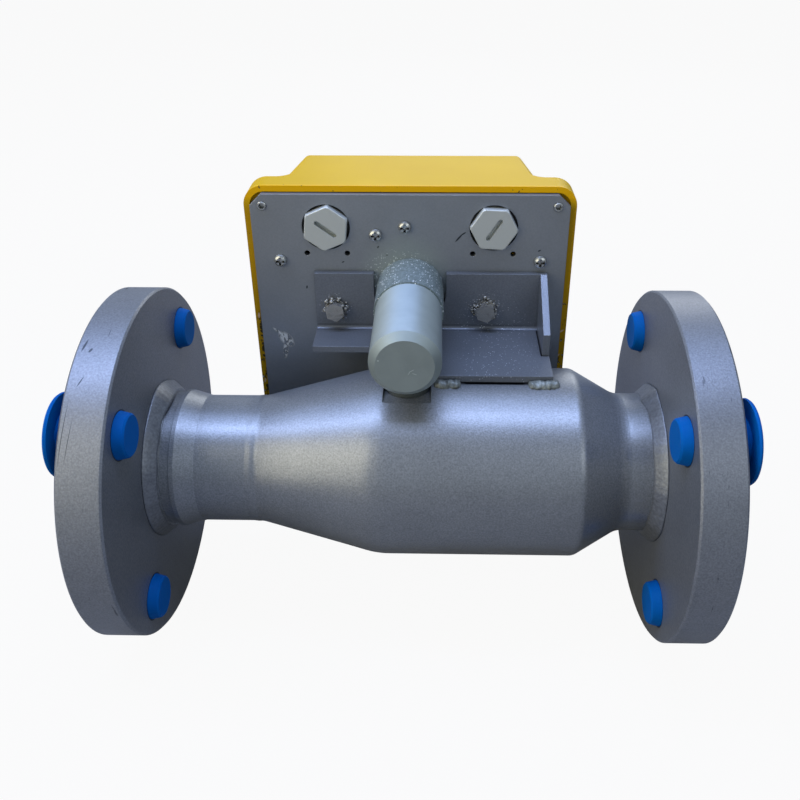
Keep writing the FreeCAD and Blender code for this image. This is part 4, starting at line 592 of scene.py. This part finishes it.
def grease_lumps(name, count, seed):
    """Small lumps of old grease round the two bracket bolts."""
    picker = random.Random(seed)
    rings, around = 6, 8
    points, faces = [], []
    for bolt_x in BOLT_XS:
        for _ in range(count):
            turn = picker.uniform(-0.9, math.pi + 0.7)
            reach = picker.uniform(4.3, 6.2)
            size = picker.uniform(0.35, 0.95)
            on_washer = reach < 5.2
            y = picker.uniform(BRACKET_FACE - 3.2, BRACKET_FACE - 0.2) if on_washer else BRACKET_FACE - 0.2
            centre = Vector((bolt_x + reach * math.cos(turn), y, BOLT_Z + reach * math.sin(turn)))
            faces += quads(rings, around, len(points), round_row=True)
            for i in range(rings):
                tilt = math.pi * i / (rings - 1)
                out = math.sin(tilt)
                for j in range(around):
                    spin = 2 * math.pi * j / around
                    way = Vector((out * math.cos(spin), math.cos(tilt), out * math.sin(spin)))
                    rough = 1 + 0.5 * noise.noise(way * 1.7 + centre)
                    points.append(centre + way * size * rough)
    return mesh_piece(name, points, faces, old_grease)


grease = grease_lumps("bolt_grease", 26, 7)
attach(grease, "meter")


def dial_marks():
    """Tick marks and a fine arc on the dial, without figures."""
    divisions, arc_steps, sweep = 50, 90, 90
    long_inner, short_inner, outer = 34.4, 36.0, 38.0
    points, faces = [], []

    def on_dial(radius, angle, aside=0.0):
        """The point at a radius and an angle from upright, moved aside along the tangent."""
        return (HEAD_X + radius * math.sin(angle) + aside * math.cos(angle), DIAL_FACE,
                DIAL_Z + radius * math.cos(angle) - aside * math.sin(angle))

    for index in range(divisions + 1):
        angle = math.radians(sweep * (index / divisions - 0.5))
        inner, half = (long_inner, 0.35) if index % 5 == 0 else (short_inner, 0.175)
        first = len(points)
        points += [on_dial(inner, angle, -half), on_dial(inner, angle, half),
                   on_dial(outer, angle, half), on_dial(outer, angle, -half)]
        faces.append(tuple(range(first, first + 4)))
    for index in range(arc_steps):
        low, high = (math.radians(sweep * (step / arc_steps - 0.5)) for step in (index, index + 1))
        first = len(points)
        points += [on_dial(outer - 0.1, low), on_dial(outer - 0.1, high),
                   on_dial(outer + 0.3, high), on_dial(outer + 0.3, low)]
        faces.append(tuple(range(first, first + 4)))
    return mesh_piece("dial_marks", points, faces, black_enamel, smooth=False)


marks = dial_marks()
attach(marks, "meter")


# Studio

FLOOR_Z = -FLANGE_RADIUS * MM
FLOOR_HALF = 6.0
MIDDLE = Vector((0.127, 0.0, 0.03))
# The floor's share of plain white, the level of the ambient light, and the share of white in gloss
SEEN_WHITE, AMBIENT, IN_GLOSS = 0.94, 0.36, 0.35


def studio_white(name):
    """A matt pale sweep: seen straight on it is close to white and still takes the shadow."""
    material, tree, sweep = new_finish(name, Base_Color=linear("#909092"), Roughness=0.9)
    ray = add_node(tree, "LightPath")
    glow = add_node(tree, "Emission", {"Strength": 1.0})
    share = add_node(tree, "Math", {0: ray.outputs["Is Camera Ray"], 1: SEEN_WHITE}, operation="MULTIPLY")
    sheet = add_node(tree, "MixShader", {0: share.outputs[0], 1: sweep.outputs[0], 2: glow.outputs[0]})
    tree.links.new(sheet.outputs[0], tree.nodes["Material Output"].inputs["Surface"])
    return material


floor_corners = [(x * FLOOR_HALF, y * FLOOR_HALF, FLOOR_Z) for x, y in ((-1, -1), (1, -1), (1, 1), (-1, 1))]
floor_data = bpy.data.meshes.new("studio_floor")
floor_data.from_pydata(floor_corners, [], [(0, 1, 2, 3)])
floor = bpy.data.objects.new("studio_floor", floor_data)
floor.data.materials.append(studio_white("studio white"))
bpy.context.scene.collection.objects.link(floor)


def studio_world(name):
    """Pale blue light from all round; the camera and glass see white, gloss sees part of it."""
    world = bpy.data.worlds.new(name)
    bpy.context.scene.world = world
    world.use_nodes = True
    tree = world.node_tree
    background = tree.nodes["Background"]
    ray = add_node(tree, "LightPath")
    through = union(tree, ray.outputs["Is Camera Ray"], ray.outputs["Is Transmission Ray"])
    seen = union(tree, through, overlap(tree, ray.outputs["Is Glossy Ray"], IN_GLOSS))
    level = add_node(tree, "MapRange", {"Value": seen, "To Min": AMBIENT, "To Max": 1.0})
    tint = paint_over(tree, linear("#DEE9F6"), "#FAFAFA", through)
    tree.links.new(tint, background.inputs["Color"])
    tree.links.new(level.outputs[0], background.inputs["Strength"])


studio_world("studio")


def soft_lamp(name, at, width, height, power, colour):
    """A soft box aimed at the meter's middle, its width kept level."""
    data = bpy.data.lights.new(name, "AREA")
    data.shape = "RECTANGLE"
    data.size, data.size_y = width, height
    data.energy = power
    data.color = linear(colour)[:3]
    back = (Vector(at) - MIDDLE).normalized()
    level = Vector((0, 1, 0)).cross(back) if abs(back.z) > 0.8 else Vector((0, 0, 1)).cross(back)
    level.normalize()
    tall = back.cross(level)
    lamp = bpy.data.objects.new(name, data)
    lamp.matrix_world = Matrix(((level.x, tall.x, back.x, at[0]), (level.y, tall.y, back.y, at[1]),
                                (level.z, tall.z, back.z, at[2]), (0, 0, 0, 1)))
    bpy.context.scene.collection.objects.link(lamp)


soft_lamp("overhead strip", (-0.18, -0.03, 0.95), 1.55, 0.14, 8.2, "#BED0FF")
soft_lamp("sky", (0.0, 0.15, 1.3), 1.6, 1.0, 14.0, "#AFC8FF")
soft_lamp("left front", (-0.84, -0.74, 0.52), 0.8, 1.35, 9.6, "#FFF3D2")
soft_lamp("right front", (0.95, -0.85, 0.75), 0.7, 0.6, 2.4, "#EEF2F4")
soft_lamp("behind", (0.3, 1.1, 0.5), 0.8, 0.5, 3.0, "#FFFFFF")


# Camera, at the photograph's place, as fitted to the flanges' circles

CAMERA_X, CAMERA_Y, CAMERA_Z = 0.14027, -0.30273, 0.23442
PITCH, YAW, ROLL = (math.radians(value) for value in (28.823, -1.263, -0.179))
SENSOR_MM, FOCAL_PIXELS, IMAGE_PIXELS = 36.0, 841.8, 800

camera_data = bpy.data.cameras.new("photo camera")
camera = bpy.data.objects.new("photo camera", camera_data)
bpy.context.scene.collection.objects.link(camera)
bpy.context.scene.camera = camera
forward = Vector((math.sin(YAW) * math.cos(PITCH), math.cos(YAW) * math.cos(PITCH), -math.sin(PITCH)))
level_right = Vector((math.cos(YAW), -math.sin(YAW), 0.0))
level_up = level_right.cross(forward)
right = level_right * math.cos(ROLL) + level_up * math.sin(ROLL)
up = level_up * math.cos(ROLL) - level_right * math.sin(ROLL)
camera.matrix_world = Matrix((
    (right.x, up.x, -forward.x, CAMERA_X),
    (right.y, up.y, -forward.y, CAMERA_Y),
    (right.z, up.z, -forward.z, CAMERA_Z),
    (0, 0, 0, 1)))
camera_data.sensor_width = SENSOR_MM
camera_data.lens = SENSOR_MM * FOCAL_PIXELS / IMAGE_PIXELS
camera_data.shift_x, camera_data.shift_y = -0.02625, -0.091875
camera_data.clip_start = 0.01
bpy.context.scene.view_settings.view_transform = "Standard"
